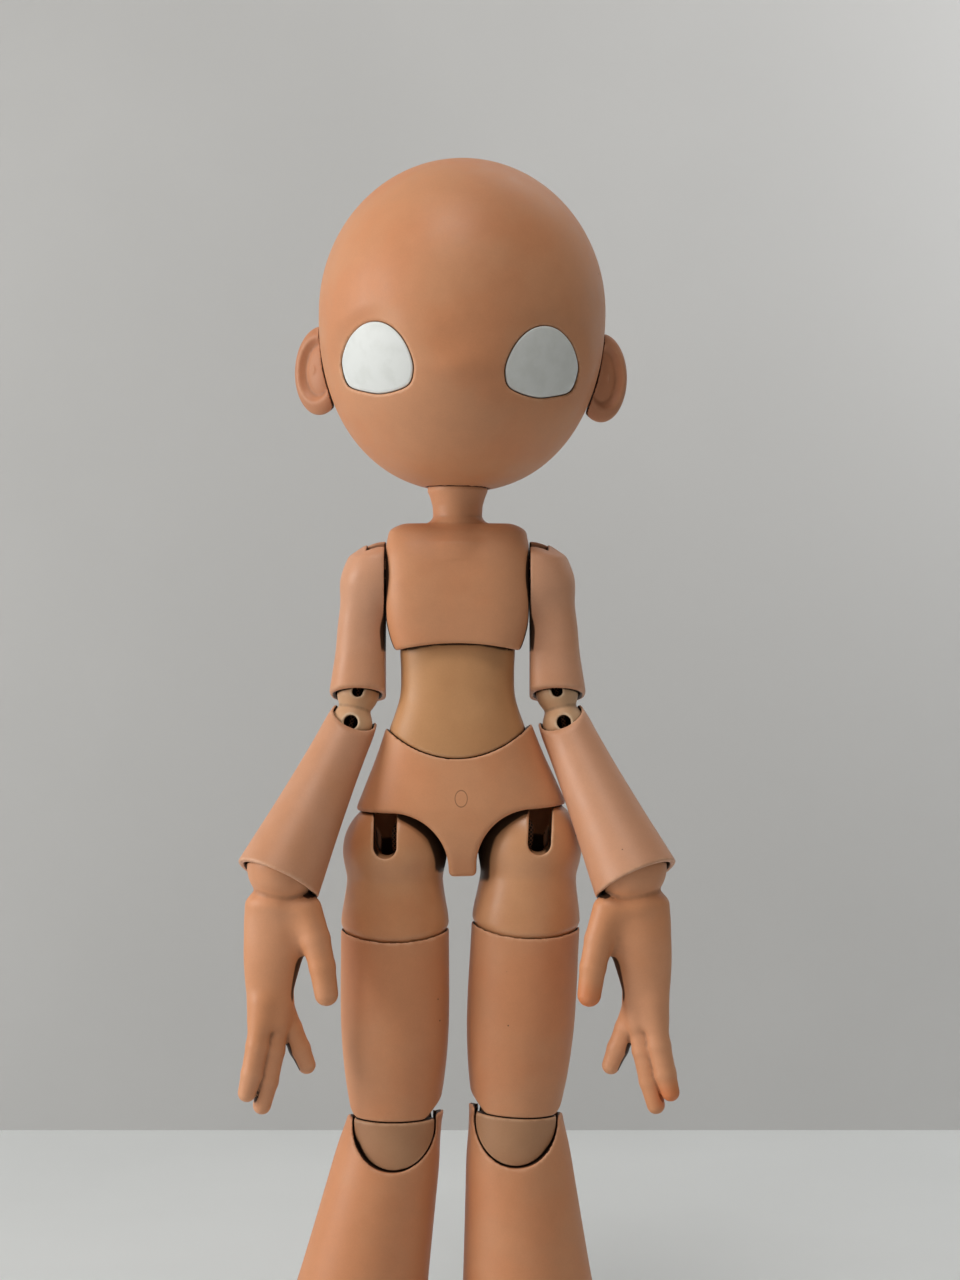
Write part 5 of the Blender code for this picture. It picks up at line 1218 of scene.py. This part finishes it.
def cast_resin_effect():
    """Cast and hand sanded resin: broad warm and grey clouds, fine speckle, a few pits and pale scuffs,
    worn rims, grime with painted shade in seams and corners, and painted shade deep in bores, slots
    and sockets."""
    tree, given, out = effect(
        "cast_resin",
        [("Colour", "Color", (0.6, 0.3, 0.2, 1)), ("Warm", "Color", (0.6, 0.3, 0.2, 1)),
         ("Worn", "Color", (0.7, 0.5, 0.4, 1)),
         ("Grime and shade colour", "Color", (0.03, 0.02, 0.01, 1)), ("Wear", "Float", 0.5), ("Grime and shade amount", "Float", 1.0),
         ("Roughness", "Float", 0.5)],
        [("Colour", "Color"), ("Roughness", "Float"), ("Height", "Float")],
    )
    spot = add(tree, "ShaderNodeTexCoord").outputs["Object"]
    rim, corner, seam, deep = (
        add(tree, "ShaderNodeAttribute", {"attribute_name": mark}).outputs["Fac"]
        for mark in ("rim", "corner", "seam", "deep")
    )

    def noise(scale, detail, rough=0.5):
        return add(tree, "ShaderNodeTexNoise", None, Vector=spot, Scale=scale, Detail=detail,
                   Roughness=rough).outputs["Fac"]

    cloud = noise(38.0, 3.0)
    mottle = noise(210.0, 4.0, 0.6)
    speckle = noise(2300.0, 2.0)
    blotch = faded(tree, cloud, 0.38, 0.64)
    colour = mixed(tree, blotch, given.outputs["Colour"], given.outputs["Warm"])
    shade = add(tree, "ShaderNodeMapRange", None, i0=mottle, i1=0.25, i2=0.75, i3=0.965, i4=1.03).outputs[0]
    fleck = add(tree, "ShaderNodeMapRange", None, i0=speckle, i1=0.25, i2=0.75, i3=0.975,
                i4=1.025).outputs[0]
    light = sums(tree, "MULTIPLY", shade, fleck)
    grey = add(tree, "ShaderNodeCombineColor", None, Red=light, Green=light, Blue=light).outputs[0]
    colour = mixed(tree, 1.0, colour, grey, "MULTIPLY")
    scuff = sums(tree, "MULTIPLY", faded(tree, noise(520.0, 5.0, 0.7), 0.66, 0.78),
                 faded(tree, noise(60.0, 1.0), 0.55, 0.7))
    worn = sums(tree, "MULTIPLY", rim, faded(tree, noise(420.0, 3.0), 0.30, 0.62, 0.25, 1.0))
    worn = sums(tree, "MULTIPLY", sums(tree, "MAXIMUM", worn, sums(tree, "MULTIPLY", scuff, 0.55)),
                given.outputs["Wear"])
    colour = mixed(tree, worn, colour, given.outputs["Worn"])
    pits = add(tree, "ShaderNodeTexVoronoi", None, Vector=spot, Scale=150.0)
    chosen = add(tree, "ShaderNodeSeparateColor", None, Color=pits.outputs["Color"])
    pit = sums(tree, "MULTIPLY", faded(tree, pits.outputs["Distance"], 0.055, 0.025),
               sums(tree, "LESS_THAN", chosen.outputs[0], 0.16))
    colour = mixed(tree, sums(tree, "MULTIPLY", pit, 0.8), colour, given.outputs["Grime and shade colour"])
    patch = faded(tree, noise(300.0, 3.0), 0.30, 0.60, 0.45, 1.0)
    # Seams and concave corners darken toward the dark brown: partly grime, broken up in patches, and partly
    # painted shade in the gaps and creases
    grime_and_shade = sums(tree, "MAXIMUM", faded(tree, seam, 0.25, 0.95), sums(tree, "MULTIPLY", corner, 0.55))
    grime_and_shade = sums(tree, "MULTIPLY", sums(tree, "MULTIPLY", grime_and_shade, patch), given.outputs["Grime and shade amount"])
    colour = mixed(tree, grime_and_shade, colour, given.outputs["Grime and shade colour"])
    # Painted shade: enclosed places darken almost to black
    colour = mixed(tree, faded(tree, deep, 0.70, 1.0, 0.0, 0.93), colour, given.outputs["Grime and shade colour"])
    rough = sums(tree, "ADD", given.outputs["Roughness"], add(
        tree, "ShaderNodeMapRange", None, i0=mottle, i1=0.3, i2=0.7, i3=-0.05, i4=0.07).outputs[0])
    rough = sums(tree, "ADD", rough, sums(tree, "MULTIPLY", grime_and_shade, 0.25))
    height = sums(tree, "ADD", sums(tree, "MULTIPLY", speckle, 0.25),
                  sums(tree, "MULTIPLY", noise(900.0, 3.0), 0.5))
    height = sums(tree, "SUBTRACT", height, pit)
    tree.links.new(colour, out.inputs["Colour"])
    tree.links.new(rough, out.inputs["Roughness"])
    tree.links.new(height, out.inputs["Height"])
    return tree


def surface(name):
    """A new material's tree and its Principled shader."""
    made = bpy.data.materials.new(name)
    made.use_nodes = True
    return made, made.node_tree, made.node_tree.nodes["Principled BSDF"]


CAST_RESIN = cast_resin_effect()
# A dark brown for grime, pits and marks, and for painted shade in seams, corners and enclosed places
GRIME_AND_SHADE = linear(34, 22, 15)


def resin(name, colour, warm, worn, wear, grime_and_shade, roughness, sheen=0.35):
    """A casting's finish: the cast resin effect in three display colours, under a soft sheen."""
    made, tree, shader = surface(name)
    cast = tree.nodes.new("ShaderNodeGroup")
    cast.node_tree = CAST_RESIN
    for label, value in (
        ("Colour", linear(*colour)), ("Warm", linear(*warm)), ("Worn", linear(*worn)), ("Grime and shade colour", GRIME_AND_SHADE),
        ("Wear", wear), ("Grime and shade amount", grime_and_shade), ("Roughness", roughness),
    ):
        cast.inputs[label].default_value = value
    bumps = add(tree, "ShaderNodeBump", None, Strength=0.5, Distance=0.00004, Height=cast.outputs["Height"])
    tree.links.new(cast.outputs["Colour"], shader.inputs["Base Color"])
    tree.links.new(cast.outputs["Roughness"], shader.inputs["Roughness"])
    tree.links.new(bumps.outputs["Normal"], shader.inputs["Normal"])
    shader.inputs["Specular IOR Level"].default_value = sheen
    return made


PEACH = resin("peach_resin", (204, 145, 106), (204, 139, 98), (226, 184, 152), 0.35, 0.8, 0.48)
EAR = resin("brown_resin", (190, 132, 98), (186, 126, 92), (222, 176, 144), 0.35, 0.6, 0.48)
WAIST = resin("tan_resin", (196, 145, 100), (192, 139, 94), (222, 184, 148), 0.4, 0.9, 0.46)
THIGH = resin("tan_peach_resin", (206, 150, 108), (202, 138, 94), (228, 186, 150), 0.4, 0.9, 0.38, 0.5)
PELVIS = resin("marked_resin", (206, 147, 107), (206, 141, 99), (226, 184, 152), 0.35, 0.8, 0.48)
KNEECAP = resin("grey_tan_resin", (178, 134, 100), (172, 124, 90), (214, 178, 146), 0.45, 0.9, 0.50)
ELBOW = resin("bone_tan_resin", (212, 176, 140), (198, 148, 108), (230, 204, 172), 0.8, 1.0, 0.50)
FOREARM = resin("pale_peach_resin", (205, 152, 120), (203, 146, 110), (230, 192, 162), 0.35, 0.8, 0.46)
# Painted light: the peach resin made lighter on the hands, standing in for light that falls short of them
HAND_LIGHTENED = resin("hand_resin_lightened", (212, 152, 114), (208, 144, 102), (226, 180, 146), 0.3, 0.8, 0.46)


def stain(finish, place, radii, colour, ring, blur, strength):
    """Lays a colour on a finish where a point's distance from a place, counted in radii, is within blur
    of ring."""
    tree = finish.node_tree
    base = tree.nodes["Principled BSDF"].inputs["Base Color"]
    spot = add(tree, "ShaderNodeTexCoord").outputs["Object"]
    offset = add(tree, "ShaderNodeVectorMath", {"operation": "SUBTRACT"}, i0=spot, i1=place)
    share = add(tree, "ShaderNodeVectorMath", {"operation": "DIVIDE"}, i0=offset.outputs[0], i1=radii)
    away = add(tree, "ShaderNodeVectorMath", {"operation": "LENGTH"}, i0=share.outputs[0]).outputs["Value"]
    off = sums(tree, "ABSOLUTE", sums(tree, "SUBTRACT", away, ring))
    tree.links.new(mixed(tree, faded(tree, off, blur, 0.0, 0.0, strength), base.links[0].from_socket,
                         colour), base)


RING_PLACE = (0.0005, -0.0165, 0.2086)
stain(PELVIS, RING_PLACE, (0.0018, 0.0120, 0.0024), GRIME_AND_SHADE, 1.0, 0.12, 0.55)
for path in (THUMB, FINGERS["index"]):
    tip = np.array(path[-1]) - (0, 0, 0.0015)
    stain(HAND_LIGHTENED, tuple(put_from("hand_left", [tip])[0]), (0.0070, 0.0070, 0.0085), linear(214, 106, 40),
          0.0, 1.0, 0.75)


def eye_finish():
    made, tree, shader = surface("white_resin")
    spot = add(tree, "ShaderNodeTexCoord").outputs["Object"]
    cloud = add(tree, "ShaderNodeTexNoise", None, Vector=spot, Scale=180.0, Detail=3.0).outputs["Fac"]
    colour = mixed(tree, faded(tree, cloud, 0.4, 0.7), linear(224, 228, 227), linear(217, 221, 219))
    tree.links.new(colour, shader.inputs["Base Color"])
    shader.inputs["Roughness"].default_value = 0.55
    return made


def metal_finish(name, colour, roughness):
    made, tree, shader = surface(name)
    spot = add(tree, "ShaderNodeTexCoord").outputs["Object"]
    scratch = add(tree, "ShaderNodeTexNoise", None, Vector=spot, Scale=1400.0, Detail=4.0).outputs["Fac"]
    tree.links.new(faded(tree, scratch, 0.35, 0.7, roughness - 0.06, roughness + 0.12),
                   shader.inputs["Roughness"])
    shader.inputs["Base Color"].default_value = colour
    shader.inputs["Metallic"].default_value = 1.0
    return made


def elastic_finish():
    """Black braided elastic: a diamond weave over the strand's own (length, round) map."""
    made, tree, shader = surface("black_elastic")
    along = add(tree, "ShaderNodeSeparateXYZ", None,
                Vector=add(tree, "ShaderNodeUVMap", {"uv_map": "strand"}).outputs[0])
    length = sums(tree, "MULTIPLY", along.outputs[0], 5200.0)
    round_way = sums(tree, "MULTIPLY", along.outputs[1], 25.13)
    one = sums(tree, "SINE", sums(tree, "ADD", length, round_way))
    two = sums(tree, "SINE", sums(tree, "SUBTRACT", length, round_way))
    weave = sums(tree, "MAXIMUM", one, two)
    colour = mixed(tree, faded(tree, weave, 0.2, 1.0), linear(22, 16, 13), linear(140, 98, 72))
    tree.links.new(colour, shader.inputs["Base Color"])
    bumps = add(tree, "ShaderNodeBump", None, Strength=0.8, Distance=0.0001, Height=weave)
    tree.links.new(bumps.outputs["Normal"], shader.inputs["Normal"])
    shader.inputs["Roughness"].default_value = 0.8
    return made


EYE = eye_finish()
STEEL = metal_finish("steel_wire", linear(176, 176, 178), 0.30)
NICKEL = metal_finish("nickel", linear(190, 190, 194), 0.25)
ELASTIC = elastic_finish()


# The doll's pieces


def sided(field, name):
    side = SIDES[name]
    return lambda points: field(points, name, side)


def build_head_shell():
    """The face's lattice is finer round the eyes."""
    low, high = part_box("head_shell")
    x, y, z = PLACES["head"][0]
    wide, tall = EYE_WINDOW
    eye_x = [(x + side * EYE_SPREAD - wide, x + side * EYE_SPREAD + wide) for side in SIDES.values()]
    eye_z = [(z + EYE_RISE - tall, z + EYE_RISE + tall)]
    detail = "full"
    coarse, fine = HEAD_CELL[detail], FACE_CELL[detail]
    lines = [
        lattice(low[0], high[0], coarse, fine, eye_x), lattice(low[1], high[1], coarse),
        lattice(low[2], high[2], coarse, fine, eye_z),
    ]
    skinned("head_shell", "head", head_shell, coarse, PEACH, (chest, head_cap), lines)


def build_castings():
    arms = [sided(upper_arm, name) for name in SIDES]
    hips = [sided(upper_thigh, name) for name in SIDES]
    build_head_shell()
    castings = [
        ("head_cap", "", head_cap, PEACH, "peach_resin", (head_shell,)),
        ("chest", "", chest, PEACH, "peach_resin", (head_shell, waist, *arms)),
        ("waist", "", waist, WAIST, "tan_resin", (chest, pelvis)),
        ("pelvis", "", pelvis, PELVIS, "peach_resin", (waist, *hips)),
    ]
    for name in SIDES:
        arm, bend, lower, palm = (sided(field, name) for field in (upper_arm, elbow, forearm, hand))
        hip, upper, joint, leg, sole = (sided(field, name)
                                        for field in (upper_thigh, thigh, knee, shin, foot))
        castings += [
            ("upper_arm", f"_{name}", arm, FOREARM, "peach_resin", (chest, bend)),
            ("elbow", f"_{name}", bend, ELBOW, "grey_tan_resin", (arm, lower)),
            ("forearm", f"_{name}", lower, FOREARM, "peach_resin", (bend, palm)),
            ("hand", f"_{name}", palm, HAND_LIGHTENED, "peach_resin", (lower,)),
            ("upper_thigh", f"_{name}", hip, THIGH, "peach_resin", (pelvis, upper)),
            ("thigh", f"_{name}", upper, PEACH, "peach_resin", (hip, joint)),
            ("knee", f"_{name}", joint, KNEECAP, "grey_tan_resin", (upper, leg)),
            ("shin", f"_{name}", leg, PEACH, "peach_resin", (upper, joint, sole)),
            ("foot", f"_{name}", sole, PEACH, "peach_resin", (leg,)),
        ]
    for kind, ending, field, finish, slot_name, near in castings:
        node = kind + ending
        skinned(node, node, field, CELLS[kind], finish, near)


def face_depth(x, z, inset):
    """How far in front of the head's axis the egg's face lies at (x, z): the egg's equation solved for y."""
    rise = z - HEAD_JAW
    level = np.abs(rise) / np.where(rise > 0, HEAD_CROWN - inset, HEAD_JAW - inset)
    power = np.where(rise > 0, 2.0, JAW_POWER)
    round_level = np.maximum(1 - level**power, 0) ** (1 / power)
    return -(HEAD_HALF_DEPTH - inset) * np.sqrt(np.maximum(round_level**2
                                                           - (x / (HEAD_HALF_WIDTH - inset)) ** 2, 0))


def build_eye(name, side):
    """A blank eye: rings from its middle out to the outline on the face, round the edge and back in behind.

    A ring r of the outline lies at middle + r (outline - middle); the edge falls back along a quarter
    circle.
    """
    outline = eye_outline(side, GAP, 128)
    middle = np.array([side * EYE_SPREAD, EYE_RISE])
    reach = np.linspace(0.02, 1, 26) ** 0.8
    quarter = np.linspace(0, math.pi / 2, 6)
    wide = np.concatenate([reach * 0.93, 0.93 + 0.07 * np.sin(quarter[1:]), [1.0], reach[::-5]])
    back = np.concatenate([reach * 0, EYE_EDGE * (1 - np.cos(quarter[1:])), [0.0022],
                           reach[::-5] * 0 + 0.0024])
    flat = middle + wide[:, None, None] * (outline - middle)
    face = face_depth(flat[..., 0], flat[..., 1], EYE_RECESS)
    outer = (flat[..., 0] - middle[0]) * side / EYE_HALF_WIDTH
    deeper = EYE_SINK * np.clip(outer, 0, 1) ** 2 * (wide[:, None] <= 1)
    depth = face + back[:, None] + deeper
    points = np.stack([flat[..., 0], depth, flat[..., 1]], axis=-1).reshape(-1, 3)
    rows, columns = len(wide), len(outline)
    quads = grid_quads(rows, columns)
    points, quads, fans = capped(points, quads, rows, columns)
    piece = closed_piece(f"eye_{name}_dome", put_from("head", points), quads, fans, EYE)
    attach(piece, "head")
    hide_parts(f"eye_{name}")


def closed_piece(name, points, quads, fans, finish):
    """A mesh of quads and triangles whose faces are turned outward by the sign of its volume."""
    split = np.concatenate([quads[:, [0, 1, 2]], quads[:, [0, 2, 3]], fans])
    corners = points[split]
    if np.linalg.det(corners - points.mean(axis=0)).sum() < 0:
        quads, fans = quads[:, ::-1], fans[:, ::-1]
    mesh = bpy.data.meshes.new(name)
    mesh.from_pydata(points.tolist(), [], quads.tolist() + fans.tolist())
    mesh.shade_smooth()
    return placed(name, mesh, finish)


def ear(points, name, side):
    """A flat shell with a bowl and a raised fold inside it, in the ear's own turned axes, on its peg."""
    q = seen_from("head", points)
    spot = np.array([side * EAR_SPREAD, EAR_BACK, EAR_RISE])
    e = (q - spot) @ turn("Z", side * EAR_TURN)
    size = np.array([EAR_REACH, EAR_THICK, EAR_HALF_HEIGHT])

    def oval(p, radii):
        share = np.linalg.norm(p / radii, axis=1)
        away = np.linalg.norm(p, axis=1)
        return away - away / np.maximum(share, 1e-6)

    shell = oval(e, size)
    bowl = oval(e + (0, EAR_BOWL_OUT, 0), size * EAR_BOWL_SHARE)
    shell = without(shell, bowl, 0.0016)
    fold = oval(e + (side * EAR_FOLD_SHIFT[0], EAR_FOLD_SHIFT[1], 0), size * EAR_FOLD_SHARES)
    shell = either(shell, fold, 0.0007)
    shell = without(shell, egg(q, -GAP), 0.0006)
    peg_end = side * (EAR_SPREAD + EAR_REACH / 4)
    peg = drum(q, EAR_PEG_RADIUS, (side * EAR_PEG_REACH, EAR_BACK, EAR_RISE), (peg_end, EAR_BACK, EAR_RISE))
    return either(shell, peg, FINE_RIM)


STRAND_SIDES = 10


def drawn(points, step=0.0006, spread=0.0024):
    """The straight runs between the points, where each spot is the mean of the path over spread: that
    rounds the corners."""
    points = np.array(points, float)
    length = np.concatenate([[0], np.cumsum(np.linalg.norm(np.diff(points, axis=0), axis=1))])
    at = np.linspace(0, length[-1], math.ceil(length[-1] / step) + 1)
    spots = np.stack([np.interp(at, length, axis) for axis in points.T], axis=1)
    half = round(spread / step / 2)
    before = 2 * spots[0] - spots[half:0:-1]
    after = 2 * spots[-1] - spots[-2:-half - 2:-1]
    long = np.concatenate([before, spots, after])
    share = np.full(2 * half + 1, 1 / (2 * half + 1))
    return np.stack([np.convolve(axis, share, "valid") for axis in long.T], axis=1)


def tube(path):
    """Rings round a path: spot + STRAND (cos a u + sin a v), with u and v square to the path and to each
    other."""
    along = np.gradient(path, axis=0)
    along /= np.linalg.norm(along, axis=1)[:, None]
    aside = np.ones(3) / math.sqrt(3)
    u = aside - (along @ aside)[:, None] * along
    u /= np.linalg.norm(u, axis=1)[:, None]
    v = np.cross(along, u)
    angle = np.linspace(0, 2 * math.pi, STRAND_SIDES, endpoint=False)[None, :, None]
    return path[:, None] + STRAND * (np.cos(angle) * u[:, None] + np.sin(angle) * v[:, None])


def elastic(name, node, runs):
    """Closed lengths of elastic in one mesh, which takes the place of the part's node."""
    points, quads, fans, maps = [], [], [], []
    total = 0
    turns = np.array([0, 1, 1, 0])
    steps = np.array([0, 0, 1, 1])
    for run in runs:
        path = drawn(run)
        rows = len(path)
        length = np.concatenate([[0], np.cumsum(np.linalg.norm(np.diff(path, axis=0), axis=1))])
        skin = grid_quads(rows, STRAND_SIDES)
        row, column = np.divmod(skin[:, :1], STRAND_SIDES)
        maps.append(np.stack([length[row + steps], (column + turns) / STRAND_SIDES], axis=-1))
        spots, skin, ends = capped(tube(path).reshape(-1, 3), skin, rows, STRAND_SIDES)
        points.append(spots)
        quads.append(skin + total)
        fans.append(ends + total)
        total += len(spots)
    fans = np.concatenate(fans)
    piece = closed_piece(name, np.concatenate(points), np.concatenate(quads), fans, ELASTIC)
    strand = np.concatenate([np.concatenate(maps).reshape(-1), np.zeros(fans.size * 2)])
    piece.data.uv_layers.new(name="strand").data.foreach_set("uv", strand)
    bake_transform(piece)
    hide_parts(node)


def pair(run, spacing=STRAND_SPACING):
    """The strand before a run of points and the one behind it."""
    offset = np.stack([run[:, 0] * 0, run[:, 0] * 0 + spacing, run[:, 0] * 0], axis=1)
    return run - offset, run + offset


def round_hook(run, bend):
    """One length: the strand before the run, a turn round the hook and the strand behind, back to the
    start."""
    front, back = pair(run)
    return [np.concatenate([front, bend, back[::-1]])]


def hook_turn(on, height, across, up):
    """Half a turn of elastic round a hook's wire, in the frame's YZ plane."""
    angle = np.linspace(0, math.pi, 9)
    bend = np.stack([angle * 0 + across, -HOOK_BEND * np.cos(angle),
                     height + up * HOOK_BEND * np.sin(angle)], axis=1)
    return put_from(on, bend)


def string_leg(name, side):
    """A loop from the neck's hook to the ankle's, in eight lengths that each cross one joint."""
    across = side * STRING_SPREAD
    low = ANKLE_BALL + HOOK_REACH
    node = f"leg_elastic_{name}"
    share = np.array(STRING_END_SHARES)[:, None]
    along = np.array([0, 0, STRING_MEET]) + share * (side * HIP_SPREAD * STRING_SHARE, 0,
                                                     STRING_DROP - STRING_MEET)
    chest_top, chest_low = put_from("chest",
                                    [(across, 0, NECK_RISE - NECK_HOOK_DROP - HOOK_BEND * 2),
                                     (across, 0, 0)])
    waist_mid, waist_low = put_from("waist", [(across, 0, WAIST_TOP / 2), (across, 0, -WAIST_BALL / 2)])
    string_top, string_low = put_from("pelvis", along)
    hip_top, hip_front, hip_low, thigh_mid = put_from(f"hip_{name}", [
        (0, -HIP_STRING_FRONT, 2 * HIP_SLOT), (0, -HIP_STRING_FRONT * 0.85, HIP_SLOT / 2),
        (-across, -HIP_STRING_FRONT / 4, -HIP_SLOT), (0, 0, -KNEE_DROP / 2),
    ])
    knee_top, knee_low = put_from(f"knee_{name}", [(0, 0, 0), (0, 0, -KNEE_SPAN)])
    shin_top, shin_low = put_from(f"shin_{name}",
                                  [(0, 0, -SHIN_LENGTH / 4), (0, 0, low + HOOK_BEND * 2 - SHIN_LENGTH)])
    chest_mid = (chest_top + chest_low) / 2
    string_mid = (string_top + string_low) / 2
    hip_share = (THIGH_BALL_DROP / 2 - HIP_SLOT) / (KNEE_DROP / 2 - HIP_SLOT)
    hip_end = hip_low + hip_share * (thigh_mid - hip_low)
    thigh_end = (thigh_mid + knee_top) / 2
    knee_mid = (knee_top + knee_low) / 2
    shin_mid = (shin_top + shin_low) / 2
    top = round_hook(np.array([chest_mid, chest_top]), hook_turn("neck", -NECK_HOOK_DROP, across, 1))
    elastic(f"{node}_hook", node, top)
    for label, a, b, on, run in (
        ("chest", "chest", "waist", "chest", (chest_mid, chest_low, waist_mid)),
        ("waist", "waist", "pelvis", "waist", (waist_mid, waist_low, string_top, string_mid)),
        ("hip", "pelvis", f"upper_thigh_{name}", f"hip_{name}",
         (string_mid, string_low, hip_top, hip_front, hip_low, hip_end)),
        ("thigh", f"upper_thigh_{name}", f"thigh_{name}", f"thigh_{name}", (hip_end, thigh_mid, thigh_end)),
        ("knee", f"thigh_{name}", f"knee_{name}", f"knee_{name}", (thigh_end, knee_top, knee_mid)),
        ("shin", f"knee_{name}", f"shin_{name}", f"shin_{name}", (knee_mid, knee_low, shin_top, shin_mid)),
    ):
        elastic(f"{node}_{label}", node, pair(np.array(run)))
    foot = round_hook(np.array([shin_mid, shin_low]), hook_turn(f"ankle_hook_{name}", low, 0, -1))
    elastic(f"{node}_ankle", node, foot)


def string_arm(name, side):
    """One arm's half of the loop from wrist to wrist, in four lengths that each cross one joint."""
    low = WRIST_BALL + HOOK_REACH
    node = "arm_elastic"
    out = side * ELBOW_OUT_SHARE * ARM_WIDTH
    near = -side * (SHOULDER_BALL + SHOULDER_BALL_INSET + STRAND)
    chest_run = put_from("chest", [(0, 0, SHOULDER_RISE), (side * WAIST_HALF_WIDTH / 3, 0, SHOULDER_RISE)])
    arm_run = put_from(f"arm_{name}", [
        (near, 0, 0), (out * ARM_STRING_SHARES[0], 0, -ARM_STRING_BORE / 3),
        (out, 0, -ARM_STRING_BORE * ARM_STRING_SHARES[1]), (out, 0, -ELBOW_DROP / 2),
    ])
    elbow_run = put_from(f"elbow_{name}", [
        (0, 0, ELBOW_BALL * ELBOW_STRING_SHARE), (0, 0, -ELBOW_SPAN / 2), (0, 0, -ELBOW_SPAN - ELBOW_BALL)])
    lower_run = put_from(f"forearm_{name}",
                         [(0, 0, -FOREARM_LENGTH / 3), (0, 0, low + HOOK_BEND * 2 - FOREARM_LENGTH)])
    arm_cut = arm_run[2:].mean(axis=0)
    lower_cut = lower_run.mean(axis=0)
    bypass = pair(chest_run, CHEST_BYPASS)
    rest = pair(np.concatenate([arm_run[:3], [arm_cut]]))
    shoulder = [np.concatenate(both_parts) for both_parts in zip(bypass, rest)]
    elastic(f"{node}_shoulder_{name}", node, shoulder)
    for label, a, b, on, run in (
        ("elbow", f"upper_arm_{name}", f"elbow_{name}", f"elbow_{name}",
         (arm_cut, arm_run[3], elbow_run[0], elbow_run[1])),
        ("forearm", f"elbow_{name}", f"forearm_{name}", f"forearm_{name}",
         (elbow_run[1], elbow_run[2], lower_run[0], lower_cut)),
    ):
        elastic(f"{node}_{label}_{name}", node, pair(np.array(run)))
    wrist = round_hook(np.array([lower_cut, lower_run[1]]), hook_turn(f"wrist_hook_{name}", low, 0, -1))
    elastic(f"{node}_wrist_{name}", node, wrist)


def panel(name, corners, colour, roughness):
    """One quad of the stage, painted with faint clouds; its tree and shader."""
    mesh = bpy.data.meshes.new(name)
    mesh.from_pydata(corners, [], [(0, 1, 2, 3)])
    finish, tree, shader = surface(f"{name}_paint")
    spot = add(tree, "ShaderNodeTexCoord").outputs["Object"]
    cloud = add(tree, "ShaderNodeTexNoise", None, Vector=spot, Scale=3.0, Detail=4.0).outputs["Fac"]
    darker = (*[c * 0.94 for c in colour[:3]], 1.0)
    shade = mixed(tree, faded(tree, cloud, 0.35, 0.65), colour, darker)
    tree.links.new(shade, shader.inputs["Base Color"])
    shader.inputs["Roughness"].default_value = roughness
    placed(name, mesh, finish)
    return tree, shader


def build_stage():
    """A pale table top, and the wall behind it, which is clear when seen from behind."""
    wide, front, back, low = STAGE_REACH, -STAGE_FRONT, WALL_BACK, -WALL_DROP
    top = [(-wide, front, 0), (wide, front, 0), (wide, back, 0), (-wide, back, 0)]
    panel("table_top", top, linear(232, 236, 237), 0.4)
    wall = [(-wide, back, low), (wide, back, low), (wide, back, wide), (-wide, back, wide)]
    tree, shader = panel("wall", wall, linear(190, 191, 191), 0.7)
    behind = add(tree, "ShaderNodeNewGeometry").outputs["Backfacing"]
    clear = add(tree, "ShaderNodeBsdfTransparent")
    seen = add(tree, "ShaderNodeMixShader", None, i0=behind, i1=shader.outputs[0], i2=clear.outputs[0])
    tree.links.new(seen.outputs[0], tree.nodes["Material Output"].inputs["Surface"])


def soft_light(name, place, aim, size, power, colour=(1, 1, 1)):
    light = bpy.data.lights.new(name, "AREA")
    light.shape = "SQUARE"
    light.size = size
    light.energy = power
    light.color = colour
    made = bpy.data.objects.new(name, light)
    made.location = place
    made.rotation_mode = "QUATERNION"
    made.rotation_quaternion = (Vector(aim) - Vector(place)).to_track_quat("-Z", "Y")
    made.visible_camera = False
    bpy.context.scene.collection.objects.link(made)


def build_studio():
    """A low window light from the left, a ceiling light, a faint fill, a light on the wall's right half,
    a faint one from behind and a level camera a little over the doll's middle."""
    soft_light("key_light", (-1.2, -0.34, 0.52), (0, 0, 0.24), 0.6, 10.5, (1.0, 0.98, 0.95))
    soft_light("ceiling_light", (-0.15, -0.58, 1.28), (0, 0, 0.25), 0.35, 5.2, (1.0, 0.97, 0.93))
    soft_light("fill_light", (0.7, -1.3, 0.7), (0, 0, 0.2), 1.2, 1.1, (1.0, 0.93, 0.85))
    soft_light("wall_light", (0.6, 0.12, 0.65), (0.6, WALL_BACK, 0.65), 0.6, 2.3)
    soft_light("back_light", (0.25, 0.40, 0.95), (0, 0, 0.2), 0.4, 0.8)
    world = bpy.data.worlds.new("room")
    world.use_nodes = True
    world.node_tree.nodes["Background"].inputs["Color"].default_value = (0.84, 0.78, 0.71, 1)
    world.node_tree.nodes["Background"].inputs["Strength"].default_value = 0.165
    bpy.context.scene.world = world
    camera = bpy.data.cameras.new("camera")
    camera.sensor_fit = "VERTICAL"
    camera.sensor_height = 36.0
    camera.lens = 58.6
    made = bpy.data.objects.new("camera", camera)
    made.location = (0.006, -0.625, 0.255)
    made.rotation_euler = (math.pi / 2, 0, 0)
    bpy.context.scene.collection.objects.link(made)
    bpy.context.scene.camera = made
    bpy.context.scene.view_settings.view_transform = "Standard"


def dress_frame():
    """Hooks and magnets keep their own shape and get metal."""
    for name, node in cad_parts.items():
        finish = None
        if "hook" in name:
            finish = STEEL
        elif name.startswith("magnet"):
            finish = NICKEL
        if finish:
            for slot in node.material_slots:
                slot.material = finish


build_castings()
for name, side in SIDES.items():
    build_eye(name, side)
    skinned(f"ear_{name}", "head", sided(ear, name), CELLS["ear"], EAR, (head_shell,))
    string_leg(name, side)
    string_arm(name, side)
dress_frame()
build_stage()
build_studio()
